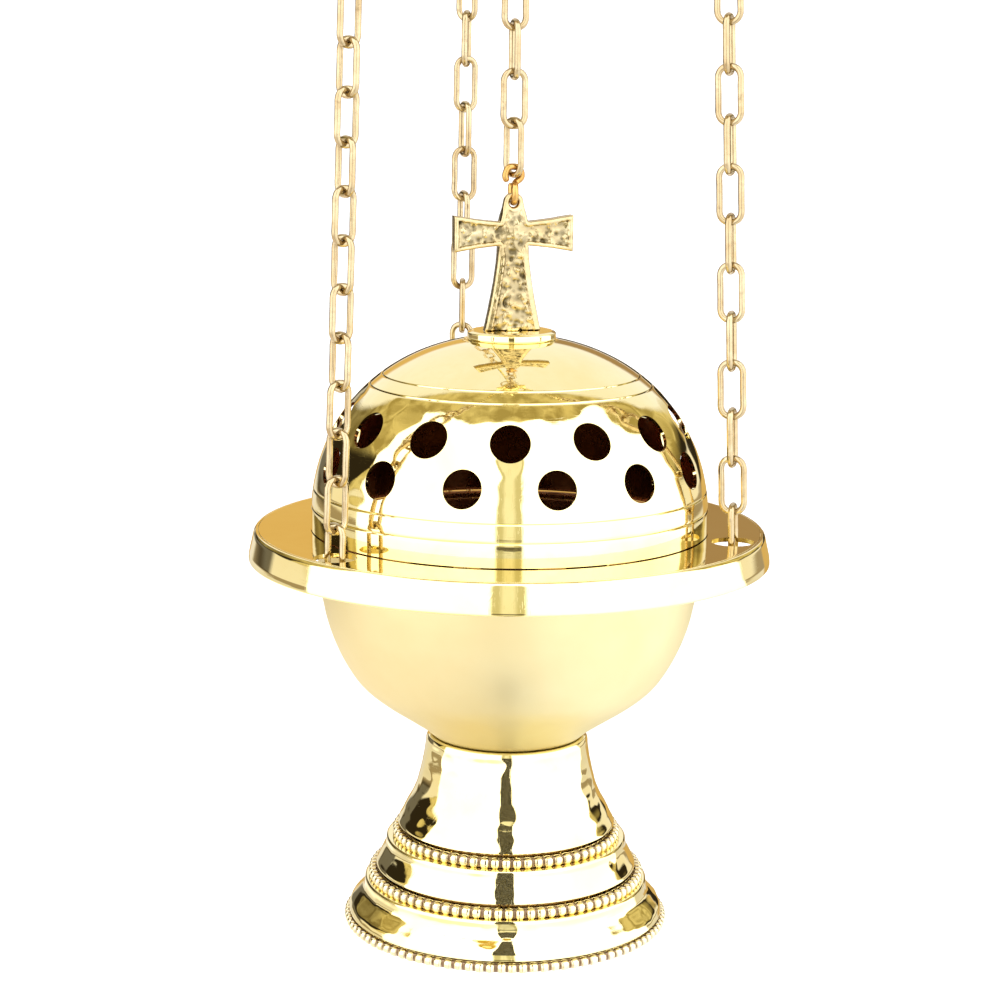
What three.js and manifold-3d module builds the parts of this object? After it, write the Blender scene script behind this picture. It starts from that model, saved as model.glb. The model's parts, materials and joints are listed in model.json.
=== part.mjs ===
// Thurible (hanging incense censer): a brass fire bowl on a flared foot hangs on three chains,
// and a pierced domed lid rides up the chains when the centre chain is pulled.
// Millimetres, +Z up. The model is laid out from the underside of the foot (z = 0), and the
// whole group is then lowered so that the origin is the point where the hanging ring is held.

import * as THREE from 'three';
import { mergeVertices } from 'three/addons/utils/BufferGeometryUtils.js';
import Module from 'manifold-3d';

const wasm = await Module();
wasm.setup();

// ---------------------------------------------------------------- driving dimensions

const GAP = 0.3;                    // clearance between neighbouring pieces
const ROUND = 28;                   // facets round the large turned pieces
const SMALL_ROUND = 12;             // facets round fasteners and small holes

const CHAIN_AZIMUTHS = [90, 210, 330];
const WIRE = 2.1;                   // chain wire diameter
const LINK_WIDTH = 8.4;
const LINK_PITCH = 15.7;            // from one bearing point to the next
const BEAR = 0.5;                   // depth that neighbouring links sink into each other
const OUTER_LINKS = 13;
const CENTRE_LINKS = 7;
const OUTER_CHAIN_Z = 132.5;        // where the first outer link bears on its lug
const OUTER_CHAIN_R = 76.3;
const CHAIN_LEAN = 0.0366;          // how far the outer chains lean inwards, per mm of height
const CENTRE_CHAIN_Z = 255.4;       // where the centre chain bears on the hook

const BEAD_RINGS = [
  { name: 'bead_ring_lower', z: 1.85, centreR: 53.6, wireR: 1.7 },
  { name: 'bead_ring_middle', z: 17.2, centreR: 45.2, wireR: 2.2 },
  { name: 'bead_ring_upper', z: 31.6, centreR: 37.0, wireR: 2.3 },
];

const FOOT_TOP_Z = 66.0;
const FOOT_PLATE_Z = 63.6;          // underside of the plate that closes the foot's top
const BOWL_FLOOR_Z = FOOT_TOP_Z + GAP;
const BOWL_FLOOR_TOP_Z = 68.0;
const BOWL_RIM_Z = 135.4;
const LUG_Z = 126.5;                // centre of the pad that holds each chain lug on the bowl
const LUG_EYE_Z = 131.4;
const LUG_THICKNESS = 2.6;
const TENON_HOLE_R = 2.2;
const EYE_R = 2.4;                  // bore of the eyes that the outer chains hang in

const BRIM_TOP_Z = 137.2;
const BRIM_SHEET = 1.5;
const BRIM_EDGE_R = 83.6;
const BRIM_HOLE_R = 7.0;            // clearance holes that the outer chains run through
const BRIM_HOLE_CENTRE_R = 76;
const BRIM_ROUND = 36;              // facets round the brim, a whole number between its holes
const SPIGOT_BORE_R = 60.6;

const DOME_BASE_R = 66.4;
const DOME_SPRING_Z = 139.7;        // height where the dome starts to curve in
const DOME_RISE = 62;
const DOME_POWER = 2.15;
const DOME_STEPS = 7;                // bands of facets up the dome
const DOME_WALL = 1.3;
const DOME_SEAT_R = 17;             // flat seat under the knop disc
const DOME_SEAT_Z = 199.5;

// The vents are spaced a little wider round the side that VENT_FIRST_AZIMUTH faces, and those of
// the far side are turned so that no vent stands in line with another through the dome.
const VENTS_PER_ROW = 14;
const VENT_FIRST_AZIMUTH = -104;
const VENT_UNEVENNESS = 3.3;        // degrees
const VENT_FAR_TURN = 4;            // degrees
const VENT_ROWS = [
  { z: 174.9, r: 56.4, shift: 0, radius: 6.4, rise: 22 },
  { z: 161.3, r: 62.9, shift: 0.5, radius: 6.25, rise: 12 },
];

const KNOP_R = 14.8;
const KNOP_TOP_Z = 203.5;
const CROSS_Z = KNOP_TOP_Z + GAP;
const CROSS_THICKNESS = 5;
const CROSS_BORDER = 1.3;
const CROSS_RECESS = 0.8;
const CROSS_EYE_Z = 245.4;
const CROSS_EYE_THICKNESS = 2.8;
const HOOK_WIRE_R = 0.95;
const STUD_R = 2.9;
const STUD_HOLE_R = 3.4;

const HUB_R = 10.5;
const HUB_BORE_R = 7.0;
const HUB_BOTTOM_Z = 345;
const HUB_TOP_Z = 359.1;
const BUSH_BORE_R = 5.2;
const BUSH_FLANGE_R = 12;
const BUSH_TOP_Z = 361.8;
const ARM_THICKNESS = 2.6;

const BAIL_PIN_Z = 352.6;
const BAIL_PIN_R = 2.0;
const BAIL_PIN_HOLE_R = 2.35;
const BAIL_EYE_X = 15;
const BAIL_EYE_R = 4.2;
const BAIL_WIRE_R = 2.2;
const BAIL_CROWN_Z = 459;
const CROWN_EYE_Z = 464.9;
const CROWN_EYE_R = 4.5;

const HANG_WIRE_R = 2.0;
const HANG_RING_R = 13;
const HANG_WIRE_Z = 466.7;          // centre of the ring's wire where the bail hangs on it
const PULL_WIRE_R = 1.3;
const PULL_RING_R = 11;
const PULL_RING_Z = BUSH_TOP_Z + GAP + PULL_WIRE_R;

const HANGING_POINT_Z = HANG_WIRE_Z + 2 * HANG_RING_R - HANG_WIRE_R;

// ---------------------------------------------------------------- solids

const radians = (degrees) => (degrees * Math.PI) / 180;

// A closed three.js geometry as a manifold solid: shared corners are merged, slivers on the
// axis of a turned piece are dropped, and the faces are turned outwards.
function solid(geometry) {
  const bare = geometry.clone();
  bare.deleteAttribute('normal');
  bare.deleteAttribute('uv');
  const merged = mergeVertices(bare, 1e-4);
  const corners = merged.attributes.position.array;
  const source = merged.index.array;
  const triangles = [];
  let volume = 0;
  for (let i = 0; i < source.length; i += 3) {
    const [a, b, c] = [source[i], source[i + 1], source[i + 2]];
    if (a === b || b === c || c === a) continue;
    triangles.push(a, b, c);
    const [pa, pb, pc] = [a, b, c].map((k) => new THREE.Vector3().fromArray(corners, 3 * k));
    volume += pa.dot(pb.cross(pc));
  }
  if (volume < 0) triangles.reverse();
  const mesh = new wasm.Mesh({
    numProp: 3,
    vertProperties: new Float32Array(corners),
    triVerts: new Uint32Array(triangles),
  });
  return new wasm.Manifold(mesh);
}

function geometryOf(body) {
  const mesh = body.getMesh();
  const geometry = new THREE.BufferGeometry();
  geometry.setAttribute('position', new THREE.Float32BufferAttribute(mesh.vertProperties, 3));
  geometry.setIndex(new THREE.Uint32BufferAttribute(mesh.triVerts, 1));
  geometry.computeVertexNormals();
  return geometry;
}

function joined(bodies) {
  return bodies.reduce((sum, body) => sum.add(body));
}

// A turned piece from [radius, z] pairs. The profile either starts and ends on the axis or
// is closed on itself.
function turned(profile, facets = ROUND) {
  const points = profile.map(([r, z]) => new THREE.Vector2(r, z));
  const onAxis = points[0].x === 0 && points[points.length - 1].x === 0;
  if (!onAxis) points.push(points[0].clone());
  const geometry = new THREE.LatheGeometry(points, facets);
  geometry.rotateX(Math.PI / 2);
  return solid(geometry);
}

// A cylinder between two stations along X, Y or Z, centred on the given point.
function rod(axis, from, to, radius, centre = [0, 0, 0], facets = SMALL_ROUND) {
  const geometry = new THREE.CylinderGeometry(radius, radius, to - from, facets);
  if (axis === 'x') geometry.rotateZ(-Math.PI / 2);
  if (axis === 'z') geometry.rotateX(Math.PI / 2);
  const place = { x: 0, y: 1, z: 2 };
  const offset = [...centre];
  offset[place[axis]] += (from + to) / 2;
  geometry.translate(...offset);
  return solid(geometry);
}

function block(size, centre) {
  const geometry = new THREE.BoxGeometry(...size);
  geometry.translate(...centre);
  return solid(geometry);
}

// A flat plate drawn in the X-Z plane and extruded equally to both sides of Y.
function plate(outline, thickness, yCentre = 0) {
  const shape = outline instanceof THREE.Shape
    ? outline
    : new THREE.Shape(outline.map(([x, z]) => new THREE.Vector2(x, z)));
  const geometry = new THREE.ExtrudeGeometry(shape, {
    depth: thickness, bevelEnabled: false, curveSegments: 5,
  });
  geometry.translate(0, 0, -thickness / 2);
  geometry.rotateX(Math.PI / 2);
  geometry.translate(0, yCentre, 0);
  return solid(geometry);
}

// A wire ring in the X-Z plane. A positive stretch pulls its two halves apart along Z,
// which turns the ring into an oval chain link.
function wireRing(radius, wireR, stretch = 0, sides = 4, steps = 10) {
  const geometry = new THREE.TorusGeometry(radius, wireR, sides, steps);
  geometry.rotateZ(Math.PI / 2);
  const position = geometry.attributes.position;
  for (let i = 0; i < position.count; i += 1) {
    const y = position.getY(i);
    position.setY(i, y + Math.sign(y) * stretch);
  }
  geometry.rotateX(Math.PI / 2);
  return solid(geometry);
}

function aroundZ(body, degrees) {
  return body.rotate([0, 0, degrees]);
}

// ---------------------------------------------------------------- materials and nodes

const FINISHES = {
  polished: { color: 0xd9b45a, roughness: 0.16, metalness: 1 },
  satin: { color: 0xe3cb85, roughness: 0.42, metalness: 1 },
  cast: { color: 0xc9a552, roughness: 0.38, metalness: 1 },
  chain: { color: 0xd6b768, roughness: 0.25, metalness: 1 },
};

const model = new THREE.Group();

function add(name, body, finish) {
  const mesh = new THREE.Mesh(geometryOf(body), new THREE.MeshStandardMaterial(FINISHES[finish]));
  mesh.name = name;
  model.add(mesh);
}

// ---------------------------------------------------------------- foot and its bead rings

// The foot is spun in one piece: a waisted stem that steps out twice on its way down, with a
// shoulder under each bead ring and a flat rim that it stands on.
function makeFoot() {
  const outside = [
    [51.4, 0], [51.4, 4.0], [53.6, 4.0], [50.2, 9.0], [48.6, 11.6], [48.3, 14.6],
    [42.6, 14.6], [42.6, 19.8], [44.6, 20.2], [41.6, 26.0], [41.0, 28.8],
    [34.3, 28.9], [34.3, 34.4], [37.0, 36.7], [32.0, 43.7],
    [29.8, 51.7], [28.0, 59.7], [27.5, 64.4], [26.6, FOOT_TOP_Z], [STUD_HOLE_R, FOOT_TOP_Z],
  ];
  const inside = [
    [STUD_HOLE_R, FOOT_PLATE_Z], [25.9, FOOT_PLATE_Z], [27.6, 51.0], [32.4, 38.6],
    [32.6, 27.2], [39.2, 26.6], [40.9, 21.0], [40.9, 12.8], [46.4, 12.8], [49.6, 5.2],
    [49.6, 0],
  ];
  return turned([...outside, ...inside]);
}

function makeBeadRing({ z, centreR, wireR }) {
  const ring = new THREE.TorusGeometry(centreR, wireR, 5, ROUND);
  ring.translate(0, 0, z);
  return solid(ring);
}

// ---------------------------------------------------------------- bowl, lugs and fire pan

const BOWL_OUTSIDE = [
  [25.5, BOWL_FLOOR_Z], [29.5, 69.7], [35.5, 73.7], [41.8, 77.7], [47.2, 81.7],
  [50.7, 85.7], [55.8, 93.7], [59.3, 101.7], [61.6, 109.7], [63.6, 122.0],
  [64.4, BOWL_RIM_Z],
];

const BOWL_INSIDE = [
  [63.0, BOWL_RIM_Z], [62.1, 122.0], [60.2, 110.0], [57.9, 102.2], [54.5, 94.3],
  [46.1, 82.8], [34.4, 75.0], [25.0, BOWL_FLOOR_TOP_Z], [STUD_HOLE_R, BOWL_FLOOR_TOP_Z],
];

function makeBowl() {
  const shell = turned([[STUD_HOLE_R, BOWL_FLOOR_Z], ...BOWL_OUTSIDE, ...BOWL_INSIDE]);
  const tenonHole = rod('x', 58, 67, TENON_HOLE_R, [0, 0, LUG_Z]);
  return shell.subtract(joined(CHAIN_AZIMUTHS.map((azimuth) => aroundZ(tenonHole, azimuth))));
}

// A cast ear on a round pad that follows the bowl's side. Its tenon passes through the bowl
// wall and is riveted over inside.
function makeLug(azimuth) {
  const outline = [[63.0, 121.5], [77.6, 127.0], [76.8, 134.4], [63.0, 131.8]];
  const half = LUG_THICKNESS / 2;
  const ear = plate(outline, LUG_THICKNESS)
    .add(rod('y', -half, half, 3.9, [OUTER_CHAIN_R, 0, LUG_EYE_Z]));
  const eye = rod('y', -5, 5, EYE_R, [OUTER_CHAIN_R, 0, LUG_EYE_Z]);
  const pad = rod('x', 61.5, 66.8, 6.2, [0, 0, LUG_Z]);
  const bowlWithGap = turned([
    [0, BOWL_FLOOR_Z], ...BOWL_OUTSIDE.map(([r, z]) => [r + GAP, z]), [0, BOWL_RIM_Z],
  ]);
  const tenon = rod('x', 60.0, 66.0, TENON_HOLE_R - GAP - 0.05, [0, 0, LUG_Z]);
  const rivetHead = rod('x', 59.0, 60.7, 3.6, [0, 0, LUG_Z]);
  const rivet = aroundZ(tenon.add(rivetHead), azimuth);
  return aroundZ(ear.add(pad).subtract(eye), azimuth).subtract(bowlWithGap).add(rivet);
}

// The loose charcoal pan rests with its rim against the inside of the bowl.
function makeFirePan() {
  return turned([
    [0, 74.5], [28.0, 74.5], [41.0, 82.0], [50.0, 91.6], [56.6, 101.4],
    [56.6, 102.6], [54.0, 102.6], [48.6, 92.4], [40.0, 83.4], [27.6, 76.0], [0, 76.0],
  ]);
}

function makeFootBolt() {
  const shank = rod('z', 56.0, 69.0, STUD_R);
  const head = rod('z', BOWL_FLOOR_TOP_Z + GAP, 71.3, 6.2, [0, 0, 0], 6);
  return shank.add(head);
}

// A flat washer or a hexagonal nut, from its underside to its top, bored to clear a stud.
function makeCollar(bottomZ, topZ, radius, facets) {
  return rod('z', bottomZ, topZ, radius, [0, 0, 0], facets)
    .subtract(rod('z', bottomZ - 1, topZ + 1, STUD_HOLE_R));
}

// ---------------------------------------------------------------- lid

// Points on the dome's curve between its springing and the seat, from the outside going up.
function domeCurve(inset, steps) {
  const base = DOME_BASE_R - inset;
  const rise = DOME_RISE - inset;
  const seat = Math.acos(((DOME_SEAT_R + 3 - inset) / base) ** (DOME_POWER / 2));
  const points = [];
  for (let i = 0; i <= steps; i += 1) {
    const t = (seat * i) / steps;
    const r = base * Math.cos(t) ** (2 / DOME_POWER);
    const z = DOME_SPRING_Z + rise * Math.sin(t) ** (2 / DOME_POWER);
    points.push([r, z]);
  }
  return points;
}

function makeDome() {
  const seatUnderside = DOME_SEAT_Z - DOME_WALL;
  const shell = turned([
    [DOME_BASE_R, BRIM_TOP_Z + GAP],
    ...domeCurve(0, DOME_STEPS),
    [STUD_HOLE_R, DOME_SEAT_Z],
    [STUD_HOLE_R, seatUnderside],
    ...domeCurve(DOME_WALL, DOME_STEPS).reverse(),
    [DOME_BASE_R - DOME_WALL, BRIM_TOP_Z + GAP],
  ]);
  const vents = [];
  for (const row of VENT_ROWS) {
    const drill = rod('x', -8, 8, row.radius, [0, 0, 0], 10).rotate([0, -row.rise, 0])
      .translate([row.r, 0, row.z]);
    for (let i = 0; i < VENTS_PER_ROW; i += 1) {
      const even = ((i + row.shift) * 2 * Math.PI) / VENTS_PER_ROW;
      const far = Math.max(0, -Math.cos(even)) * (1 - 1.25 * Math.cos(even));
      const azimuth =
        (even * 180) / Math.PI + (VENT_UNEVENNESS - VENT_FAR_TURN * far) * Math.sin(even);
      vents.push(aroundZ(drill, VENT_FIRST_AZIMUTH + azimuth));
    }
  }
  return shell.subtract(joined(vents));
}

// The flat ring round the dome, with holes that the outer chains run through.
function makeBrim() {
  const underside = BRIM_TOP_Z - BRIM_SHEET;
  const ring = turned([
    [SPIGOT_BORE_R, underside], [BRIM_EDGE_R, underside],
    [BRIM_EDGE_R, BRIM_TOP_Z], [SPIGOT_BORE_R, BRIM_TOP_Z],
  ], BRIM_ROUND);
  const chainHole = rod('z', 130, 140, BRIM_HOLE_R, [BRIM_HOLE_CENTRE_R, 0, 0], 14);
  return ring.subtract(joined(CHAIN_AZIMUTHS.map((azimuth) => aroundZ(chainHole, azimuth))));
}

// The turned-down band soldered round the brim's edge.
function makeLidBand() {
  const inside = BRIM_EDGE_R + GAP;
  return turned([
    [85.9, 127.1], [87.3, 127.1], [85.3, 136.6], [84.5, BRIM_TOP_Z], [inside, BRIM_TOP_Z],
    [inside, 135.4], [84.2, 135.2],
  ], BRIM_ROUND);
}

// The ring under the brim that centres the lid in the bowl's mouth.
function makeSpigot() {
  const top = BRIM_TOP_Z - BRIM_SHEET - GAP;
  return turned([
    [SPIGOT_BORE_R, 131.5], [62.0, 131.5], [62.0, top], [SPIGOT_BORE_R, top],
  ], BRIM_ROUND);
}

function makeKnopDisc() {
  const bottom = DOME_SEAT_Z + GAP;
  return turned([
    [STUD_HOLE_R, bottom], [11.0, bottom], [13.2, 200.4], [14.6, 201.5], [KNOP_R, 202.3],
    [KNOP_R, 203.1], [14.4, KNOP_TOP_Z], [STUD_HOLE_R, KNOP_TOP_Z],
  ], 20);
}

const CROSS_HALF = [
  [9.2, CROSS_Z], [7.6, 212.0], [6.3, 220.0], [5.6, 227.0], [5.8, 231.0], [13.0, 230.6],
  [20.0, 229.2], [20.0, 241.4], [13.0, 239.6], [5.0, 239.2], [3.4, 244.0],
];

// A cast cross with splayed arms. Each face is sunk inside a raised border, a thin eye at
// the top takes the hook, and a stud below goes through the dome's crown.
function makeCross() {
  const leftHalf = CROSS_HALF.map(([x, z]) => [-x, z]).reverse();
  const blank = plate([...CROSS_HALF, ...leftHalf], CROSS_THICKNESS);
  const b = CROSS_BORDER;
  const fieldHalf = [
    [9.2 - b, CROSS_Z + b], [7.6 - b, 212.0], [6.3 - b, 220.0], [5.6 - b, 231.0 + b],
    [13.0, 230.6 + b], [20.0 - b, 229.4 + b], [20.0 - b, 241.2 - b], [13.0, 239.6 - b],
    [4.6 - b, 239.2 - b],
  ];
  const field = [...fieldHalf, ...fieldHalf.map(([x, z]) => [-x, z]).reverse()];
  const sunkY = CROSS_THICKNESS / 2;
  const front = plate(field, 2 * CROSS_RECESS, -sunkY);
  const back = plate(field, 2 * CROSS_RECESS, sunkY);
  const half = CROSS_EYE_THICKNESS / 2;
  const eyeDisc = rod('y', -half, half, 3.6, [0, 0, CROSS_EYE_Z]);
  const slabs = [-1, 1].map((side) => block([12, 4, 12], [0, side * (half + 2), CROSS_EYE_Z + 4.2]));
  const eye = rod('y', -5, 5, 1.95, [0, 0, CROSS_EYE_Z]);
  const stud = rod('z', 190.5, CROSS_Z + 1, STUD_R);
  return blank.subtract(front).subtract(back).subtract(joined(slabs)).add(eyeDisc)
    .subtract(eye).add(stud);
}

// A bent wire with a round section along a smooth open path.
function wire(points, radius, steps, sides = 5) {
  const path = new THREE.CatmullRomCurve3(points.map((p) => new THREE.Vector3(...p)));
  const section = new THREE.Shape();
  for (let i = 0; i < sides; i += 1) {
    const angle = (2 * Math.PI * i) / sides;
    const [x, y] = [radius * Math.cos(angle), radius * Math.sin(angle)];
    if (i === 0) section.moveTo(x, y);
    else section.lineTo(x, y);
  }
  const geometry = new THREE.ExtrudeGeometry(section, { steps, extrudePath: path, bevelEnabled: false });
  return solid(geometry);
}

// An S-hook twisted a quarter turn: its lower bend goes through the cross's eye front to
// back, and its upper bend carries the centre chain.
function makeCrossHook() {
  const low = CROSS_EYE_Z;
  const high = CENTRE_CHAIN_Z + 1.6;
  return wire([
    [0, 2.9, low + 5.2], [0, 2.8, low + 2.6], [0, 1.8, low + 0.5], [0, 0, low],
    [0, -1.9, low + 0.6], [0, -2.8, low + 2.7], [0, -2.4, low + 4.9], [0.6, -0.4, low + 6.4],
    [2.4, 0, low + 7.8], [2.7, 0, high - 2.3], [1.8, 0, high - 0.5], [0, 0, high],
    [-1.8, 0, high - 0.5], [-2.7, 0, high - 2.6], [-2.5, 0, high - 4.0],
  ], HOOK_WIRE_R, 26);
}

// ---------------------------------------------------------------- chains

// A run of links going up from the origin, each turned a quarter turn from the last. The
// first link lies in the X-Z plane turned by firstTurn degrees.
function makeChain(count, firstTurn) {
  const bendR = (LINK_WIDTH - WIRE) / 2;
  const stretch = (LINK_PITCH + WIRE - BEAR) / 2 - bendR;
  const link = wireRing(bendR, WIRE / 2, stretch);
  const links = [];
  for (let i = 0; i < count; i += 1) {
    links.push(aroundZ(link, firstTurn + 90 * (i % 2)).translate([0, 0, (i + 0.5) * LINK_PITCH]));
  }
  return joined(links);
}

function makeOuterChain(azimuth) {
  const lean = -(Math.atan(CHAIN_LEAN) * 180) / Math.PI;
  const chain = makeChain(OUTER_LINKS, 90).rotate([0, lean, 0])
    .translate([OUTER_CHAIN_R, 0, OUTER_CHAIN_Z]);
  return aroundZ(chain, azimuth);
}

// ---------------------------------------------------------------- spreader, bail and rings

const ARM_EYE_Z = 337.6;
const ARM_EYE_R = 68.8;

// A cast hub with three drooping arms, one over each outer chain.
function makeSpreader() {
  const hub = turned([
    [HUB_BORE_R, HUB_BOTTOM_Z], [9.0, HUB_BOTTOM_Z], [HUB_R, 346.5], [HUB_R, 357.8],
    [9.4, HUB_TOP_Z], [HUB_BORE_R, HUB_TOP_Z],
  ], 18);
  const outline = [
    [9.0, 345.6], [30.0, 346.6], [48.0, 345.0], [58.0, 341.0], [66.0, 334.8],
    [70.6, 342.2], [60.0, 347.4], [48.0, 350.4], [30.0, 351.6], [9.0, 351.2],
  ];
  const half = ARM_THICKNESS / 2;
  const arm = plate(outline, ARM_THICKNESS)
    .add(rod('y', -half, half, 4.6, [ARM_EYE_R, 0, ARM_EYE_Z]))
    .subtract(rod('y', -5, 5, EYE_R, [ARM_EYE_R, 0, ARM_EYE_Z]));
  const arms = CHAIN_AZIMUTHS.map((azimuth) => aroundZ(arm, azimuth));
  const pinHole = rod('x', -12, 12, BAIL_PIN_HOLE_R, [0, 0, BAIL_PIN_Z]);
  return joined([hub, ...arms]).subtract(pinHole);
}

function makeGuideBush() {
  return turned([
    [BUSH_BORE_R, 343.0], [HUB_BORE_R - GAP, 343.0], [HUB_BORE_R - GAP, HUB_TOP_Z + GAP],
    [BUSH_FLANGE_R, HUB_TOP_Z + GAP], [BUSH_FLANGE_R, BUSH_TOP_Z - 0.5],
    [BUSH_FLANGE_R - 0.5, BUSH_TOP_Z], [BUSH_BORE_R + 0.6, BUSH_TOP_Z], [BUSH_BORE_R, BUSH_TOP_Z - 0.6],
  ], 18);
}

// A shouldered screw pin, drawn pointing along +X.
function makeBailPin() {
  const centre = [0, 0, BAIL_PIN_Z];
  return rod('x', HUB_BORE_R + 0.5, 18, BAIL_PIN_R, centre)
    .add(rod('x', 11.0, 12.5, 3.4, centre))
    .add(rod('x', 17.5, 19.6, 3.8, centre));
}

// The tall stirrup that the hub turns in, wide enough for the pull ring to rise inside it.
function makeBail() {
  const leg = [
    [BAIL_EYE_X, 355.9], [15.6, 360.0], [18.2, 367.0], [22.6, 378.0], [25.0, 392.0],
    [25.4, 410.0], [24.4, 428.0], [20.4, 444.0], [12.0, 455.0],
  ];
  const rightSide = leg.map(([x, z]) => [x, 0, z]);
  const leftSide = leg.map(([x, z]) => [-x, 0, z]).reverse();
  const bow = wire([...rightSide, [0, 0, BAIL_CROWN_Z], ...leftSide], BAIL_WIRE_R, 32, 6);
  const crown = rod('y', -1.7, 1.7, 6.6, [0, 0, CROWN_EYE_Z], 16);
  const crownBore = rod('y', -5, 5, CROWN_EYE_R, [0, 0, CROWN_EYE_Z], 14);
  const boss = rod('x', BAIL_EYE_X - 2, BAIL_EYE_X + 2, BAIL_EYE_R, [0, 0, BAIL_PIN_Z]);
  const otherBoss = boss.rotate([0, 0, 180]);
  const pinBore = rod('x', -20, 20, BAIL_PIN_HOLE_R, [0, 0, BAIL_PIN_Z]);
  return joined([bow, crown, boss, otherBoss]).subtract(crownBore).subtract(pinBore);
}

function makeHangingRing() {
  return aroundZ(wireRing(HANG_RING_R, HANG_WIRE_R, 0, 6, 20), 90)
    .translate([0, 0, HANG_WIRE_Z + HANG_RING_R]);
}

function makePullRing() {
  const ring = new THREE.TorusGeometry(PULL_RING_R, PULL_WIRE_R, 6, 20);
  ring.rotateZ(Math.PI / 2);
  ring.translate(0, PULL_RING_R, PULL_RING_Z);
  return solid(ring);
}

// ---------------------------------------------------------------- the whole censer

add('foot', makeFoot(), 'polished');
for (const ring of BEAD_RINGS) add(ring.name, makeBeadRing(ring), 'cast');
add('foot_bolt', makeFootBolt(), 'cast');
add('foot_washer', makeCollar(62.1, 63.3, 7.5, SMALL_ROUND), 'cast');
add('foot_nut', makeCollar(57.4, 61.8, 6.2, 6), 'cast');
add('bowl', makeBowl(), 'satin');
add('fire_pan', makeFirePan(), 'satin');
CHAIN_AZIMUTHS.forEach((azimuth, i) => {
  add(`chain_lug_${i + 1}`, makeLug(azimuth), 'cast');
  add(`chain_${i + 1}`, makeOuterChain(azimuth), 'chain');
});
add('lid_dome', makeDome(), 'polished');
add('lid_brim', makeBrim(), 'polished');
add('lid_band', makeLidBand(), 'polished');
add('lid_spigot', makeSpigot(), 'satin');
add('knop_disc', makeKnopDisc(), 'polished');
add('cross', makeCross(), 'cast');
add('cross_washer', makeCollar(196.7, 197.9, 6.5, SMALL_ROUND), 'cast');
add('cross_nut', makeCollar(192.2, 196.4, 6.0, 6), 'cast');
add('cross_hook', makeCrossHook(), 'chain');
add('centre_chain', makeChain(CENTRE_LINKS, 90).translate([0, 0, CENTRE_CHAIN_Z]), 'chain');
add('spreader', makeSpreader(), 'cast');
add('guide_bush', makeGuideBush(), 'polished');
add('bail_pin_right', makeBailPin(), 'polished');
add('bail_pin_left', aroundZ(makeBailPin(), 180), 'polished');
add('bail', makeBail(), 'polished');
add('hanging_ring', makeHangingRing(), 'polished');
add('pull_ring', makePullRing(), 'chain');

model.position.z = -HANGING_POINT_Z;
model.updateMatrixWorld(true);

export default model;
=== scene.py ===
"""Looks of the brass thurible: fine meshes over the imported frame, materials, light and camera."""
import json
import math

import bmesh
import bpy
import numpy as np
from mathutils import Matrix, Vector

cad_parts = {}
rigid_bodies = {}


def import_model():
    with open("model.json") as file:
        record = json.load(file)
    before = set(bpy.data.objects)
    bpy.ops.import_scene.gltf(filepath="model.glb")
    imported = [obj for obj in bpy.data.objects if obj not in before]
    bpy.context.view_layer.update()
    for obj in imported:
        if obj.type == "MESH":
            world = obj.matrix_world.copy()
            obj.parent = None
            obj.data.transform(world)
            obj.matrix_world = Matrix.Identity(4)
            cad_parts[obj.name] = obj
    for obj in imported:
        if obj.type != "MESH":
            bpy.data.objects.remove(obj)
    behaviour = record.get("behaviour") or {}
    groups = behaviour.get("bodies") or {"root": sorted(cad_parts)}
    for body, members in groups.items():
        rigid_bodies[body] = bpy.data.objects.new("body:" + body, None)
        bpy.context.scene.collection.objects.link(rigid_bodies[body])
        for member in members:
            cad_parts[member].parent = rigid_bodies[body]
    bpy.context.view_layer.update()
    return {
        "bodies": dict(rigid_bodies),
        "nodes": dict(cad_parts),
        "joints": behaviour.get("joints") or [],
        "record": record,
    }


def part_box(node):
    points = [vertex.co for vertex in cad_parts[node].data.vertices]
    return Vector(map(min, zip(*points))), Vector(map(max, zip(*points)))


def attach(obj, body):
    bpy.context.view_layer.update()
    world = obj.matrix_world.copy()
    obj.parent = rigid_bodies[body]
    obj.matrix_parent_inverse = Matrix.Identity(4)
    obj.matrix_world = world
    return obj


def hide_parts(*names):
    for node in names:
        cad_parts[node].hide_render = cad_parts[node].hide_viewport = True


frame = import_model()

# ---------------------------------------------------------------- dimensions, mm from the foot's underside

MM = 0.001
FOOT_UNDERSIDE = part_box("foot")[0].z
CHAIN_AZIMUTHS = (90.0, 210.0, 330.0)
STUD_HOLE_R = 3.4

WIRE = 2.1
LINK_WIDTH = 9.4
LINK_PITCH = 15.7
OUTER_LINKS = 13
CENTRE_LINKS = 7
OUTER_CHAIN_Z = 132.5
OUTER_CHAIN_R = 76.3
CHAIN_LEAN = 0.0366
CENTRE_CHAIN_Z = 255.4
FIRST_LINK_TWIST = 22.0

DOME_BASE_R = 66.4
DOME_BASE_Z = 137.4
DOME_SPRING_Z = 139.7
DOME_RISE = 62.0
DOME_POWER = 2.15
DOME_WALL = 1.2
DOME_SEAT_R = 14.9
DOME_SEAT_Z = 200.5
DOME_GROOVES_Z = (145.0, 151.0, 185.7, 189.0)
VENTS_PER_ROW = 14
VENT_FIRST_AZIMUTH = -104.0
VENT_UNEVENNESS = 3.3
VENT_FAR_TURN = 4.0
# height of the row's centre, its shift in vents, the drill's radius and its upward tilt in degrees
VENT_ROWS = ((174.9, 0.0, 6.4, 22.0), (161.3, 0.5, 6.25, 12.0))

BRIM_TOP_Z = 137.2
BRIM_HOLE_R = 7.0
BRIM_HOLE_CENTRE_R = 76.0

# name, height of the wire's centre, its radius round the foot, bead width and bead height
BEAD_PITCH = 3.5
BEAD_RINGS = (
    ("bead_ring_lower", 1.85, 53.6, 3.45, 3.3),
    ("bead_ring_middle", 17.2, 45.2, 3.5, 3.7),
    ("bead_ring_upper", 31.6, 37.0, 3.5, 3.7),
)

VIEW_AZIMUTH = -104.0          # where the camera stands, degrees from +X


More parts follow.
